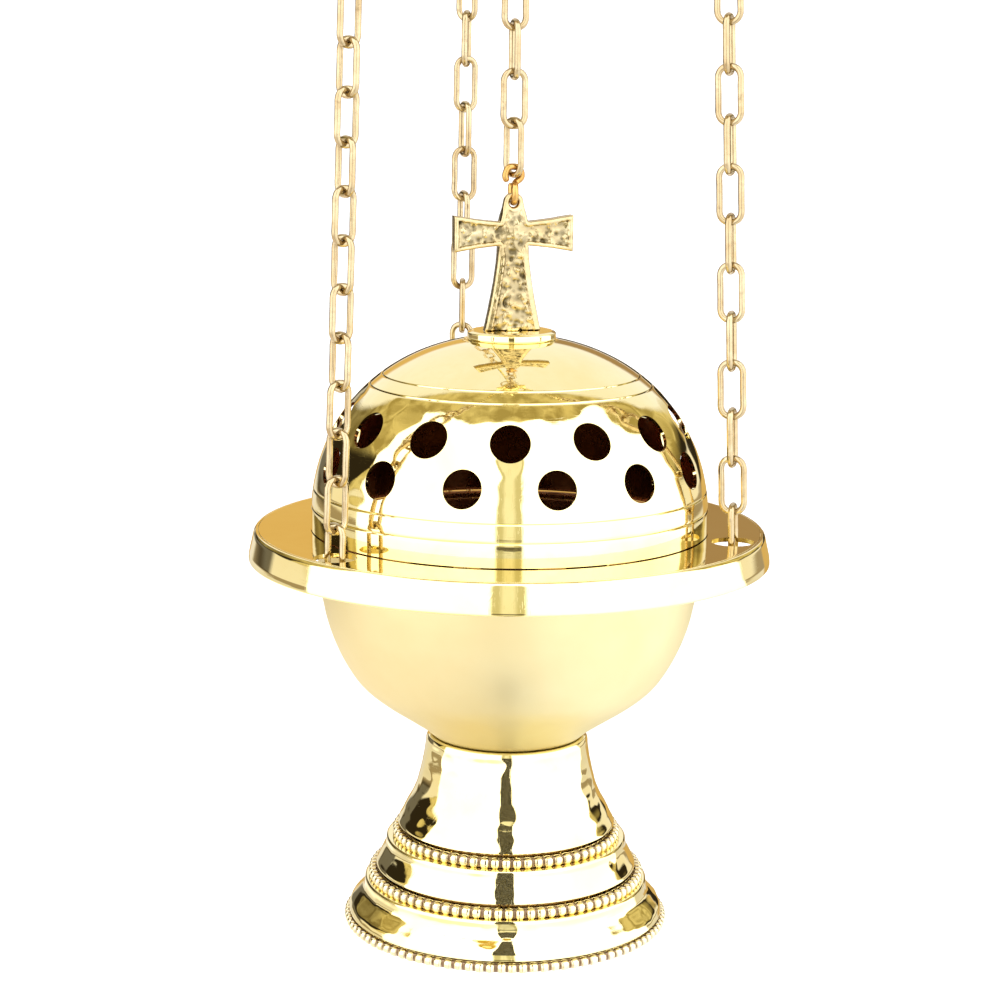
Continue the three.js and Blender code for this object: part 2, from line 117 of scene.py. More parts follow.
# ---------------------------------------------------------------- mesh tools

def smooth_line(points, step):
    """A Catmull-Rom curve through the points, sampled about every step."""
    p = np.asarray(points, float)
    p = np.vstack([2 * p[0] - p[1], p, 2 * p[-1] - p[-2]])
    out = []
    for a, b, c, d in zip(p[:-3], p[1:-2], p[2:-1], p[3:]):
        count = max(2, int(math.ceil(np.linalg.norm(c - b) / step)))
        for t in np.arange(count) / count:
            out.append(0.5 * (2 * b + (c - a) * t + (2 * a - 5 * b + 4 * c - d) * t * t
                              + (3 * b - a - 3 * c + d) * t ** 3))
    out.append(p[-2])
    return np.array(out)


def straight_line(a, b, step):
    """Evenly spaced points from a up to, but not including, b."""
    a, b = np.asarray(a, float), np.asarray(b, float)
    count = max(1, int(math.ceil(np.linalg.norm(b - a) / step)))
    return a + (b - a) * (np.arange(count) / count)[:, None]


def rounded(points, radius, step=0.4, closed=True):
    """A polygon with its corners rounded. Each point may carry its own radius as a third value."""
    points = [tuple(p) + ((radius,) if len(p) == 2 else ()) for p in points]
    count = len(points)
    out = []
    for i, (x, z, r) in enumerate(points):
        corner = np.array([x, z])
        if not closed and i in (0, count - 1):
            out.append(corner)
            continue
        before = np.array(points[i - 1][:2])
        after = np.array(points[(i + 1) % count][:2])
        u = before - corner
        v = after - corner
        lu, lv = np.linalg.norm(u), np.linalg.norm(v)
        u, v = u / lu, v / lv
        angle = math.acos(float(np.clip(np.dot(u, v), -1, 1)))
        if r < 0.01 or angle > 3.1:
            out.append(corner)
            continue
        reach = min(r / math.tan(angle / 2), 0.45 * lu, 0.45 * lv)
        start, end = corner + u * reach, corner + v * reach
        pieces = max(2, int(math.ceil((math.pi - angle) / 0.4)))
        for t in np.arange(pieces + 1) / pieces:
            out.append((1 - t) ** 2 * start + 2 * t * (1 - t) * corner + t * t * end)
    dense = []
    pairs = zip(out, out[1:] + out[:1]) if closed else zip(out, out[1:])
    for a, b in pairs:
        dense.extend(straight_line(a, b, step))
    if not closed:
        dense.append(out[-1])
    return np.array(dense)


def grid_faces(rows, columns, closed=False, capped=False):
    """Quads between rings of vertices, from the last ring to the first if closed."""
    faces = []
    for i in range(rows if closed else rows - 1):
        n = (i + 1) % rows
        for j in range(columns):
            k = (j + 1) % columns
            faces.append((i * columns + j, i * columns + k, n * columns + k, n * columns + j))
    if capped:
        faces.append(tuple(range(columns))[::-1])
        faces.append(tuple((rows - 1) * columns + j for j in range(columns)))
    return faces


def revolve(profile, segments, closed=False, capped=False):
    """Vertices and faces of a profile of (radius, z) turned round Z."""
    angles = np.arange(segments) * 2 * math.pi / segments
    r, z = np.asarray(profile, float).T
    verts = np.stack([
        np.outer(r, np.cos(angles)), np.outer(r, np.sin(angles)), np.repeat(z[:, None], segments, 1),
    ], -1).reshape(-1, 3)
    return verts, grid_faces(len(r), segments, closed, capped)


def peg(radius, low, high, sides=96):
    """A closed cylinder along Z."""
    return revolve([(radius, low), (radius, high)], sides, capped=True)


def sweep(path, radius, sides=14, closed=False):
    """A round wire along a path of points. An open wire gets domed ends."""
    path = np.asarray(path, float)
    if closed:
        tangents = np.roll(path, -1, 0) - np.roll(path, 1, 0)
    else:
        tangents = np.gradient(path, axis=0)
    tangents /= np.linalg.norm(tangents, axis=1)[:, None]
    radii = np.full(len(path), float(radius))
    if not closed:
        dome = np.array([0.0, 0.5, 0.87])
        first = path[0] - tangents[0] * radius * dome[::-1, None]
        last = path[-1] + tangents[-1] * radius * dome[:, None]
        taper = radius * np.sqrt(1 - dome ** 2)
        path = np.vstack([first[:2], path, last[1:]])
        tangents = np.vstack([tangents[:1], tangents[:1], tangents, tangents[-1:], tangents[-1:]])
        radii = np.concatenate([taper[::-1][:2], radii, taper[1:]])
    side = np.cross(tangents[0], [0.3, 0.5, 0.81])
    side /= np.linalg.norm(side)
    frames = []
    for t in tangents:
        side = side - t * np.dot(side, t)
        side /= np.linalg.norm(side)
        frames.append((side, np.cross(t, side)))
    if closed:
        turn = frames[0][0]
        end = side - tangents[0] * np.dot(side, tangents[0])
        slip = math.atan2(np.dot(end, np.cross(tangents[0], turn)), np.dot(end, turn))
    else:
        slip = 0.0
    verts = []
    angles = np.arange(sides) * 2 * math.pi / sides
    for i, (p, (a, b)) in enumerate(zip(path, frames)):
        shift = -slip * i / len(path)
        c, s = np.cos(angles + shift)[:, None], np.sin(angles + shift)[:, None]
        verts.append(p + radii[i] * (c * a + s * b))
    return np.vstack(verts), grid_faces(len(path), sides, closed, capped=not closed)


def join_meshes(parts):
    """Several (verts, faces) pairs as one."""
    verts, faces, base = [], [], 0
    for v, f in parts:
        verts.append(np.asarray(v, float))
        faces.extend(tuple(i + base for i in face) for face in f)
        base += len(v)
    return np.vstack(verts), faces


def turn_z(verts, degrees):
    a = math.radians(degrees)
    c, s = math.cos(a), math.sin(a)
    return np.asarray(verts) @ np.array([[c, s, 0], [-s, c, 0], [0, 0, 1]])


def turn_mesh(mesh, degrees):
    return turn_z(mesh[0], degrees), mesh[1]


def along_x(mesh, z):
    """Turns a piece made round Z so that it lies along +X at height z."""
    v = mesh[0]
    return np.column_stack([v[:, 2], v[:, 1], -v[:, 0] + z]), mesh[1]


def across_y(mesh, centre):
    """Turns a piece made round Z so that it lies along Y at an (x, z) centre."""
    v = mesh[0]
    return np.column_stack([v[:, 0] + centre[0], v[:, 2], v[:, 1] + centre[1]]), mesh[1]


def grid_normals(verts, faces):
    """Vertex normals from the faces round each vertex."""
    f = np.array([face[:4] for face in faces])
    a, b, c, d = (verts[f[:, k]] for k in range(4))
    n = np.cross(c - a, d - b)
    out = np.zeros_like(verts)
    for k in range(4):
        np.add.at(out, f[:, k], n)
    length = np.linalg.norm(out, axis=1)
    length[length == 0] = 1
    return out / length[:, None]


def hammer(verts, normals, seed, spacing, depth, weight):
    """Pushes a surface in by shallow overlapping round dents, as planishing leaves it."""
    rng = np.random.default_rng(seed)
    live = np.flatnonzero(weight > 0.001)
    points = verts[live]
    closest = 0.72 * spacing
    centres = np.zeros((0, 3))
    for p in points[rng.permutation(len(points))[:12000]]:
        if (((centres - p) ** 2).sum(1) >= closest ** 2).all():
            centres = np.vstack([centres, p])
    force = (0.35 + 1.9 * rng.random(len(centres)) ** 4) * depth
    size = rng.uniform(0.6, 1.1, len(centres)) * spacing
    push = np.zeros(len(live))
    batch = 4000
    for start in range(0, len(live), batch):
        near = points[start:start + batch]
        d2 = ((near[:, None] - centres[None]) ** 2).sum(-1) / size[None] ** 2
        dents = np.clip(1 - d2, 0, None) ** 1.3 * force[None]
        push[start:start + batch] = dents.max(1)
    out = verts.copy()
    out[live] -= normals[live] * (push * weight[live])[:, None]
    return out


# ---------------------------------------------------------------- objects

def make_object(name, points, faces):
    """A mesh object from points in metres, its faces turned outwards."""
    mesh = bpy.data.meshes.new(name)
    mesh.from_pydata([tuple(p) for p in points], [], faces)
    bm = bmesh.new()
    bm.from_mesh(mesh)
    bmesh.ops.recalc_face_normals(bm, faces=bm.faces)
    bm.to_mesh(mesh)
    bm.free()
    obj = bpy.data.objects.new(name, mesh)
    bpy.context.scene.collection.objects.link(obj)
    return obj


def shade_smooth(obj, sharp):
    """Smooth shading, except over edges of more than sharp degrees."""
    obj.data.polygons.foreach_set("use_smooth", [True] * len(obj.data.polygons))
    obj.data.set_sharp_from_angle(angle=math.radians(sharp))


def in_frame(verts):
    """Millimetres above the foot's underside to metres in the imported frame."""
    return np.asarray(verts, float) * MM + np.array([0, 0, FOOT_UNDERSIDE])


def add(name, verts, faces, body, materials, replaced=(), slot=None, sharp=40.0):
    """A piece from points in millimetres above the foot's underside, riding on a CAD body."""
    obj = make_object(name, in_frame(verts), faces)
    shade_smooth(obj, sharp)
    for material in materials if isinstance(materials, (list, tuple)) else [materials]:
        obj.data.materials.append(material)
    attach(obj, body)
    if replaced:
        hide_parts(*replaced)
    return obj


def cut(obj, cutters, sharp=40.0, solver="MANIFOLD"):
    """Cuts closed meshes out of a piece. EXACT is for a piece made of overlapping shells."""
    verts, faces = join_meshes(cutters)
    cutter = make_object("cutter", in_frame(verts), faces)
    modifier = obj.modifiers.new("cut", "BOOLEAN")
    modifier.operation = "DIFFERENCE"
    modifier.solver = solver
    modifier.use_self = solver == "EXACT"
    modifier.object = cutter
    graph = bpy.context.evaluated_depsgraph_get()
    mesh = bpy.data.meshes.new_from_object(obj.evaluated_get(graph))
    obj.modifiers.clear()
    obj.data = mesh
    shade_smooth(obj, sharp)
    cutter_mesh = cutter.data
    bpy.data.objects.remove(cutter)
    bpy.data.meshes.remove(cutter_mesh)


# ---------------------------------------------------------------- materials

def new_node(tree, kind, inputs=None, **settings):
    """A node with its settings, and its inputs linked or set. Three numbers are an opaque colour."""
    node = tree.nodes.new("ShaderNode" + kind)
    for name, value in settings.items():
        setattr(node, name, value)
    for key, value in (inputs or {}).items():
        socket = node.inputs[key]
        if isinstance(value, bpy.types.NodeSocket):
            tree.links.new(value, socket)
        else:
            socket.default_value = (*value, 1.0) if socket.type == "RGBA" else value
    return node


def node_tree(material):
    material.use_nodes = True
    tree = material.node_tree
    tree.nodes.clear()
    shader = new_node(tree, "BsdfPrincipled")
    new_node(tree, "OutputMaterial", {"Surface": shader.outputs["BSDF"]})
    return tree, shader


def noise(tree, scale, detail=3.0, stretch=(1, 1, 1), distortion=0.0, roughness=0.5):
    """Noise over the piece's own coordinates, stretched by stretch."""
    coords = new_node(tree, "TexCoord").outputs["Object"]
    place = new_node(tree, "Mapping", {"Vector": coords, "Scale": stretch}).outputs["Vector"]
    return new_node(tree, "TexNoise", {
        "Vector": place, "Scale": scale, "Detail": detail, "Roughness": roughness,
        "Distortion": distortion}).outputs["Fac"]


def ramp(tree, value, stops):
    """A colour ramp between greys. Each stop is a position and a grey."""
    node = new_node(tree, "ValToRGB", {"Fac": value})
    elements = node.color_ramp.elements
    while len(elements) < len(stops):
        elements.new(0.5)
    for element, (position, grey) in zip(elements, stops):
        element.position = position
        element.color = (grey, grey, grey, 1.0)
    return node.outputs["Color"]


def mix_colour(tree, factor, a, b, mode="MIX"):
    return new_node(tree, "Mix", {0: factor, 6: a, 7: b}, data_type="RGBA", blend_type=mode,
                    clamp_factor=True).outputs[2]


def scalar(tree, operation, *values):
    return new_node(tree, "Math", dict(enumerate(values)), operation=operation).outputs[0]


def spread_to(tree, value, low, high, from_low=0.35, from_high=0.65, kind="LINEAR"):
    """Maps from_low to low and from_high to high, held level outside them."""
    return new_node(tree, "MapRange", {
        "Value": value, "From Min": from_low, "From Max": from_high, "To Min": low,
        "To Max": high}, interpolation_type=kind).outputs["Result"]


def bump(tree, shader, height, distance, normal=None):
    inputs = {"Height": height, "Distance": distance}
    if normal is not None:
        inputs["Normal"] = normal
    normal = new_node(tree, "Bump", inputs).outputs["Normal"]
    tree.links.new(normal, shader.inputs["Normal"])
    return normal


def brass(name, pale, deep, rough, cloud=45.0, scratch=0.0, grain=0.0, brush=0.0, stain=0.0,
          patina=None):
    """Brass whose colour and gloss wander a little. rough is a (low, high) pair.

    scratch is the depth of fine random hairlines, brush of the lathe's turning lines, and grain
    of the cast skin, all in metres. patina is a dull colour laid on by the mesh's own attribute.
    """
    material = bpy.data.materials.new(name)
    tree, shader = node_tree(material)
    cloudy = noise(tree, cloud, 4.0, distortion=0.6)
    colour = mix_colour(tree, spread_to(tree, cloudy, 0.0, 1.0, 0.3, 0.7), pale, deep)
    fine = noise(tree, cloud * 9, 3.0)
    colour = mix_colour(tree, spread_to(tree, fine, 0.0, 0.35, 0.45, 0.75), colour, deep)
    roughness = spread_to(tree, noise(tree, cloud * 1.7, 3.0), rough[0], rough[1])
    if stain:
        spots = noise(tree, cloud * 4.2, 5.0, roughness=0.65)
        mask = spread_to(tree, spots, 0.0, stain, 0.56, 0.72)
        colour = mix_colour(tree, mask, colour, (deep[0] * 0.5, deep[1] * 0.42, deep[2] * 0.35))
        roughness = scalar(tree, "ADD", roughness, scalar(tree, "MULTIPLY", mask, 0.18))
    if patina:
        mask = new_node(tree, "Attribute", attribute_name="patina").outputs["Fac"]
        colour = mix_colour(tree, mask, colour, patina)
        roughness = scalar(tree, "ADD", roughness, scalar(tree, "MULTIPLY", mask, 0.3))
    tree.links.new(colour, shader.inputs["Base Color"])
    tree.links.new(roughness, shader.inputs["Roughness"])
    shader.inputs["Metallic"].default_value = 1.0
    normal = None
    if brush:
        lines = noise(tree, 1.0, 2.0, stretch=(60, 60, 3200))
        normal = bump(tree, shader, lines, brush, normal)
    if scratch:
        for stretch in ((2600, 130, 240), (210, 2300, 150), (170, 260, 2400)):
            hair = noise(tree, 1.0, 1.0, stretch=stretch, distortion=0.4)
            hair = spread_to(tree, hair, 0.0, 1.0, 0.62, 0.72)
            normal = bump(tree, shader, hair, scratch, normal)
    if grain:
        bump(tree, shader, noise(tree, 900.0, 4.0), grain, normal)
    return material


PALE = (0.93, 0.83, 0.46)
GOLD = (0.90, 0.76, 0.36)

POLISHED = brass("brass_polished", PALE, GOLD, (0.012, 0.045), cloud=30.0, scratch=0.0000015)
HAMMERED = brass("brass_hammered", PALE, GOLD, (0.012, 0.05), cloud=38.0, scratch=0.0000015)
SATIN = brass("brass_satin", (0.85, 0.765, 0.46), (0.84, 0.735, 0.415), (0.54, 0.62), cloud=24.0,
              brush=0.000006)
CAST = brass("brass_cast", PALE, GOLD, (0.16, 0.30), cloud=90.0, grain=0.00005, stain=0.4)
CAST_CROSS = brass("brass_cross", (0.60, 0.51, 0.30), (0.48, 0.37, 0.18), (0.08, 0.20),
                   cloud=120.0, grain=0.00004, stain=0.2, patina=(0.15, 0.12, 0.06))
HOOK_BRASS = brass("brass_hook", (0.66, 0.42, 0.14), (0.45, 0.25, 0.07), (0.10, 0.20), cloud=110.0,
                   stain=0.4)
BEADED = brass("brass_beads", (0.93, 0.85, 0.58), (0.90, 0.79, 0.48), (0.08, 0.18), cloud=140.0,
               stain=0.3, patina=(0.30, 0.20, 0.12))
WIRE_BRASS = brass("brass_wire", (0.54, 0.45, 0.28), (0.42, 0.31, 0.16), (0.05, 0.13), cloud=110.0,
                   scratch=0.000003, stain=0.4)
SMOKED = brass("brass_smoked", (0.62, 0.27, 0.10), (0.22, 0.08, 0.03), (0.16, 0.35),
               cloud=60.0, stain=0.6)
SOOTED = brass("brass_sooted", (0.36, 0.22, 0.08), (0.12, 0.06, 0.03), (0.40, 0.62), cloud=42.0,
               stain=0.9, brush=0.00001)


def set_attribute(obj, name, values):
    layer = obj.data.attributes.new(name, "FLOAT", "POINT")
    layer.data.foreach_set("value", np.asarray(values, np.float32))


def turned(name, profile, body, material, segments=288, replaced=(), sharp=35.0, weight=None,
           seed=0, spacing=6.0, depth=0.1):
    """A piece turned round Z from a closed profile, hammered where weight(radius, z) says so."""
    verts, faces = revolve(profile, segments, True)
    if weight is not None:
        normals = grid_normals(verts, faces)
        outward = verts[:, :2] / np.maximum(np.linalg.norm(verts[:, :2], axis=1), 1e-6)[:, None]
        facing = (normals[:, :2] * outward).sum(1) + normals[:, 2]
        if facing.mean() < 0:
            normals = -normals
        amount = np.array([weight(r, z) for r, z in profile])
        verts = hammer(verts, normals, seed, spacing, depth, np.repeat(amount, segments))
    return add(name, verts, faces, body, material, replaced, sharp=sharp)


# ---------------------------------------------------------------- foot

FOOT_SKIRTS = (
    [(53.7, 4.1), (53.6, 5.0), (53.0, 6.7), (51.0, 8.9), (48.9, 11.1), (48.4, 12.7), (48.2, 14.9)],
    [(44.4, 20.1), (44.2, 21.0), (42.8, 23.7), (41.5, 26.4), (41.1, 27.6), (40.9, 29.3)],
    [(37.0, 34.8), (36.8, 35.5), (35.7, 37.7), (34.5, 40.2), (32.4, 44.0), (30.8, 47.7),
     (29.7, 51.7), (28.8, 55.7), (28.1, 59.7), (27.5, 64.2)],
)


def foot_profile():
    skirts = [smooth_line(skirt, 0.55) for skirt in FOOT_SKIRTS]
    outside = np.vstack([
        rounded([(49.7, 0), (51.5, 0, 0.3), (51.5, 4.0, 0.2), skirts[0][0]], 0.2, 0.5, False),
        skirts[0],
        rounded([(48.1, 15.1), (47.7, 15.6, 0.3), (42.6, 15.6, 0.3), (42.6, 19.9, 0.3),
                 skirts[1][0]], 0.3, 0.5, False),
        skirts[1],
        rounded([(40.8, 29.5), (40.4, 30.0, 0.2), (34.4, 30.0, 0.3), (34.4, 34.5, 0.3),
                 skirts[2][0]], 0.3, 0.5, False),
        skirts[2],
        rounded([(27.4, 64.6), (27.0, 65.7, 0.5), (26.2, 66.0, 0.3), (STUD_HOLE_R, 66.0)], 0.4, 0.7,
                False),
    ])
    inside = rounded([
        (STUD_HOLE_R, 63.6), (25.9, 63.6, 1.5), (27.6, 51.0, 6), (32.4, 38.6, 4), (32.6, 27.2, 1),
        (39.2, 26.6, 1), (40.9, 21.0, 3), (40.9, 12.8, 1), (46.4, 12.8, 1), (49.6, 5.2, 3),
        (49.7, 0.4, 0.3),
    ], 1, 1.2, False)
    return np.vstack([outside, inside])


def foot_weight(r, z):
    if r < 26.9:
        return 0.0
    for skirt in FOOT_SKIRTS:
        line = np.array(skirt)
        low, high = line[0, 1], line[-1, 1]
        if low - 0.1 <= z <= high + 0.1:
            edge = float(np.interp(z, line[:, 1], line[:, 0]))
            if r > edge - 0.5:
                return float(np.clip(min(z - low, high - z) / 1.6, 0, 1)) * 0.9
    return 0.0


turned("foot_bell", foot_profile(), "censer", HAMMERED, 300, ("foot",), weight=foot_weight,
       seed=4, spacing=5.5, depth=0.17)


def bead_shape(rings=9, around=12):
    """A rounded block two units across with its poles on Z."""
    def power(value, n):
        return np.sign(value) * np.abs(value) ** n

    lat = (np.arange(1, rings) / rings - 0.5) * math.pi
    lon = np.arange(around) * 2 * math.pi / around
    lat, lon = (angle.ravel() for angle in np.meshgrid(lat, lon, indexing="ij"))
    reach = power(np.cos(lat), 0.72)
    middle = np.column_stack([reach * power(np.cos(lon), 0.78), reach * power(np.sin(lon), 0.78),
                              power(np.sin(lat), 0.78)])
    unit = np.vstack([[(0, 0, -1)], middle, [(0, 0, 1)]])
    last = len(unit) - 1
    faces = [(0, 1 + (j + 1) % around, 1 + j) for j in range(around)]
    faces += [tuple(1 + i for i in face) for face in grid_faces(rings - 1, around)]
    faces += [(last, last - around + j, last - around + (j + 1) % around) for j in range(around)]
    return unit, faces


def bead_ring(name, height, radius, width, tall):
    """A row of squarish beads round the foot with a plain wire behind them."""
    count = int(round(2 * math.pi * radius / BEAD_PITCH))
    rng = np.random.default_rng(count)
    unit, faces = bead_shape()
    pitch = 2 * math.pi * radius / count
    half = np.array([tall, min(width, pitch), tall]) / 2
    bead_patina = np.clip(np.abs(unit[:, 1]) ** 3 * 1.3 - 0.15, 0, 1)
    parts, patina = [], []
    for i in range(count):
        bead = unit * (half * rng.uniform(0.95, 1.03, 3)) + np.array([radius, 0, height])
        bead[:, 2] += rng.uniform(-0.06, 0.06)
        parts.append((turn_z(bead, i * 360 / count + rng.uniform(-0.15, 0.15)), faces))
        patina.append(bead_patina)
    back, front = radius - tall * 0.46, radius + tall * 0.20
    low, high = height - tall * 0.4, height + tall * 0.4
    wire = revolve(rounded([(back, low), (front, low), (front, high), (back, high)], 0.4, 0.8), 240,
                   True)
    parts.append(wire)
    patina.append(np.ones(len(wire[0])))
    obj = add(name.replace("bead_ring", "bead_row"), *join_meshes(parts), "censer", BEADED, (name,),
              sharp=60)
    set_attribute(obj, "patina", np.concatenate(patina))


for ring in BEAD_RINGS:
    bead_ring(*ring)


# ---------------------------------------------------------------- fasteners

def hexagon(across_corners, low, high, bore, name, body, replaced, azimuth, shank=None):
    """A hex nut or bolt head with its corners chamfered, and a shank where one is asked for."""
    sides = 72
    steps = np.arange(sides) * 360 / sides
    flat = across_corners * math.cos(math.pi / 6)
    hexagonal = flat / np.cos(np.radians((steps + 30) % 60 - 30))
    # height and how far out the turned chamfer lets the hexagon reach
    levels = [(low, flat), (low + 0.05, flat + 0.35), (low + 0.6, across_corners),
              (high - 0.6, across_corners), (high - 0.05, flat + 0.35), (high, flat)]
    rows = [(z, np.minimum(hexagonal, limit)) for z, limit in levels]
    face_edge = rows[0][1] - 0.25
    hole = np.full(sides, bore)
    rows = [(low, hole + 0.3), (low, face_edge)] + rows + [
        (high, face_edge), (high, hole + 0.3), (high - 0.3, hole), (low + 0.3, hole)]
    angles = np.radians(steps + azimuth)
    verts = np.vstack([
        np.column_stack([r * np.cos(angles), r * np.sin(angles), np.full(sides, z)]) for z, r in rows
    ])
    parts = [(verts, grid_faces(len(rows), sides, closed=True))]
    if shank:
        parts.append(threaded(*shank))
    add(name, *join_meshes(parts), body, CAST, replaced, sharp=30)


def threaded(radius, low, high, pitch=0.9):
    """A closed rod with shallow rings of thread and a chamfered end."""
    profile = [(radius - 0.5, low), (radius - 0.1, low + 0.4)]
    z = low + 0.6
    while z + pitch < high:
        profile += [(radius, z), (radius, z + 0.2 * pitch), (radius - 0.38, z + 0.55 * pitch)]
        z += pitch
    profile += [(radius, z), (radius, high)]
    return revolve(profile, 48, capped=True)


def washer(low, high, radius, name, body, replaced):
    section = [(STUD_HOLE_R, low), (radius, low), (radius, high), (STUD_HOLE_R, high)]
    turned(name, rounded(section, 0.25, 0.5), body, CAST, 96, replaced)


hexagon(6.1, 68.3, 71.25, 2.4, "foot_bolt_head", "censer", ("foot_bolt",), azimuth=12,
        shank=(2.88, 56.1, 69.0))
hexagon(6.1, 57.45, 61.75, 3.3, "foot_nut_hex", "censer", ("foot_nut",), azimuth=41)
washer(62.15, 63.25, 7.4, "foot_washer_disc", "censer", ("foot_washer",))
hexagon(5.9, 192.25, 196.35, 3.3, "cross_nut_hex", "lid", ("cross_nut",), azimuth=23)
washer(196.75, 197.85, 6.4, "cross_washer_disc", "lid", ("cross_washer",))


# ---------------------------------------------------------------- bowl and fire pan

BOWL_OUTSIDE = [
    (25.6, 66.35), (29.5, 69.6), (35.5, 73.7), (41.8, 77.9), (47.2, 82.0), (50.9, 85.7),
    (53.7, 89.7), (56.0, 93.7), (57.9, 97.7), (59.5, 101.7), (60.8, 105.7), (61.8, 109.7),
    (63.0, 116.0), (63.7, 122.0), (64.2, 129.0), (64.35, 134.6),
]
BOWL_INSIDE = [
    (63.05, 134.8), (62.9, 129.0), (62.4, 122.0), (61.5, 116.0), (60.1, 109.7), (57.9, 102.2),
    (55.0, 95.0), (51.0, 88.2), (46.1, 82.8), (40.0, 78.2), (34.4, 74.8), (28.0, 70.6), (24.9, 68.2),
]


def bowl_profile():
    """The bowl's section, and the first and last row of its sooted inside."""
    outside = smooth_line(BOWL_OUTSIDE, 0.8)
    lip = rounded([(64.35, 134.7), (64.35, 135.3, 0.3), (63.05, 135.3, 0.3), (63.05, 134.9)], 0.3,
                  0.3, False)
    inside = smooth_line(BOWL_INSIDE, 1.0)
    floor_in = rounded([(24.8, 68.1), (STUD_HOLE_R, 68.0)], 0.3, 1.2, False)
    floor_out = rounded([(STUD_HOLE_R, 66.3), (25.5, 66.3)], 0.3, 1.2, False)
    first = len(outside) + len(lip) // 2
    last = len(outside) + len(lip) + len(inside) + len(floor_in) - 1
    return np.vstack([outside, lip, inside, floor_in, floor_out[:-1]]), first, last


def paint_inside(obj, segments, first, last):
    """Gives the rows from first to last of a turned piece its second material."""
    for polygon in obj.data.polygons:
        row = min(polygon.vertices) // segments
        if first <= row < last and max(polygon.vertices) // segments <= last:
            polygon.material_index = 1


BOWL_SEGMENTS = 288
bowl_section, inner_from, inner_to = bowl_profile()
bowl = turned("bowl_shell", bowl_section, "censer", [SATIN, SOOTED], BOWL_SEGMENTS, ("bowl",),
              sharp=40)
paint_inside(bowl, BOWL_SEGMENTS, inner_from, inner_to)


def extrude_xz(outline, half, bevel=0.35):
    """A plate from an outline in the X-Z plane, closed, with its edges rounded over."""
    count = len(outline)
    rows = []
    edge_normals = []
    for i in range(count):
        a, b = outline[i - 1], outline[(i + 1) % count]
        t = (b - a) / np.linalg.norm(b - a)
        edge_normals.append((t[1], -t[0]))
    edge_normals = np.array(edge_normals)
    x, z = outline.T
    if np.sum(x * np.roll(z, -1) - np.roll(x, -1) * z) < 0:
        edge_normals = -edge_normals
    levels = ((-half, bevel), (-half + 0.3 * bevel, 0.3 * bevel), (-half + bevel, 0.0),
              (half - bevel, 0.0), (half - 0.3 * bevel, 0.3 * bevel), (half, bevel))
    for y, inset in levels:
        ring = outline - edge_normals * inset
        rows.append(np.column_stack([ring[:, 0], np.full(count, y), ring[:, 1]]))
    return np.vstack(rows), grid_faces(len(levels), count, capped=True)


def arc(centre, radius, start, end, steps):
    angles = np.radians(np.linspace(start, end, steps))
    return [(centre[0] + radius * math.cos(a), centre[1] + radius * math.sin(a)) for a in angles]


LUG_Z = 126.5
LUG_EYE = (76.3, 131.4)
EYE_HOLE_R = 2.35


def make_lug(number, azimuth):
    """A cast ear on a round pad, riveted through the bowl's wall."""
    pad = along_x(revolve(rounded([
        (0.4, 61.6), (1.8, 61.6, 0.1), (1.8, 64.6, 0.1), (6.1, 64.6, 0.5), (6.1, 65.8, 0.8),
        (4.6, 66.9, 0.8), (0.4, 67.2)], 0.3, 0.4, False), 48, capped=True), LUG_Z)
    head = along_x(revolve(rounded([
        (0.4, 59.1), (2.4, 59.3, 0.8), (3.5, 60.2, 0.5), (3.5, 60.8, 0.2), (1.8, 60.8, 0.1),
        (1.8, 62.0), (0.4, 62.0)], 0.3, 0.4, False), 48, capped=True), LUG_Z)
    outline = rounded(
        [(65.0, 121.8, 1.0), (70.0, 122.6, 3.0), (76.0, 127.4, 0.2)]
        + [(x, z, 0.05) for x, z in arc(LUG_EYE, 3.85, -80, 95, 16)]
        + [(70.5, 134.0, 2.0), (65.0, 131.8, 1.0)], 0.5, 0.5)
    node = f"chain_lug_{number}"
    ear = turn_mesh(join_meshes([pad, extrude_xz(outline, 1.28)]), azimuth)
    ear = add(f"{node}_ear", *ear, "censer", CAST, (node,), sharp=35)
    hole = across_y(peg(EYE_HOLE_R, -4, 4, 40), LUG_EYE)
    cut(ear, [turn_mesh(hole, azimuth)], 35.0, "EXACT")
    add(f"{node}_rivet", *turn_mesh(head, azimuth), "censer", CAST, slot=node)


for number, azimuth in enumerate(CHAIN_AZIMUTHS, 1):
    make_lug(number, azimuth)

rivet_hole = along_x(peg(1.95, 56, 70, 40), LUG_Z)
cut(bowl, [turn_mesh(rivet_hole, azimuth) for azimuth in CHAIN_AZIMUTHS])

PAN_OUTSIDE = [(26.0, 74.55), (29.5, 75.0), (35.0, 78.0), (41.0, 82.1), (45.8, 86.6),
               (50.0, 91.7), (53.6, 96.4), (55.8, 100.6)]
PAN_INSIDE = [(53.6, 100.4), (51.6, 97.0), (48.4, 92.2), (44.2, 87.4), (39.8, 83.3), (34.0, 79.3),
              (29.0, 76.5), (26.0, 76.02)]
pan_profile = np.vstack([
    smooth_line(PAN_OUTSIDE, 1.0),
    rounded([(55.9, 100.8), (56.5, 101.6, 0.3), (56.5, 102.5, 0.4), (54.2, 102.5, 0.3),
             (53.7, 100.6)], 0.3, 0.4, False),
    smooth_line(PAN_INSIDE, 1.0),
])
add("fire_pan_dish", *revolve(pan_profile, 192, capped=True), "fire_pan", SOOTED, ("fire_pan",),
    sharp=35)


# ---------------------------------------------------------------- lid

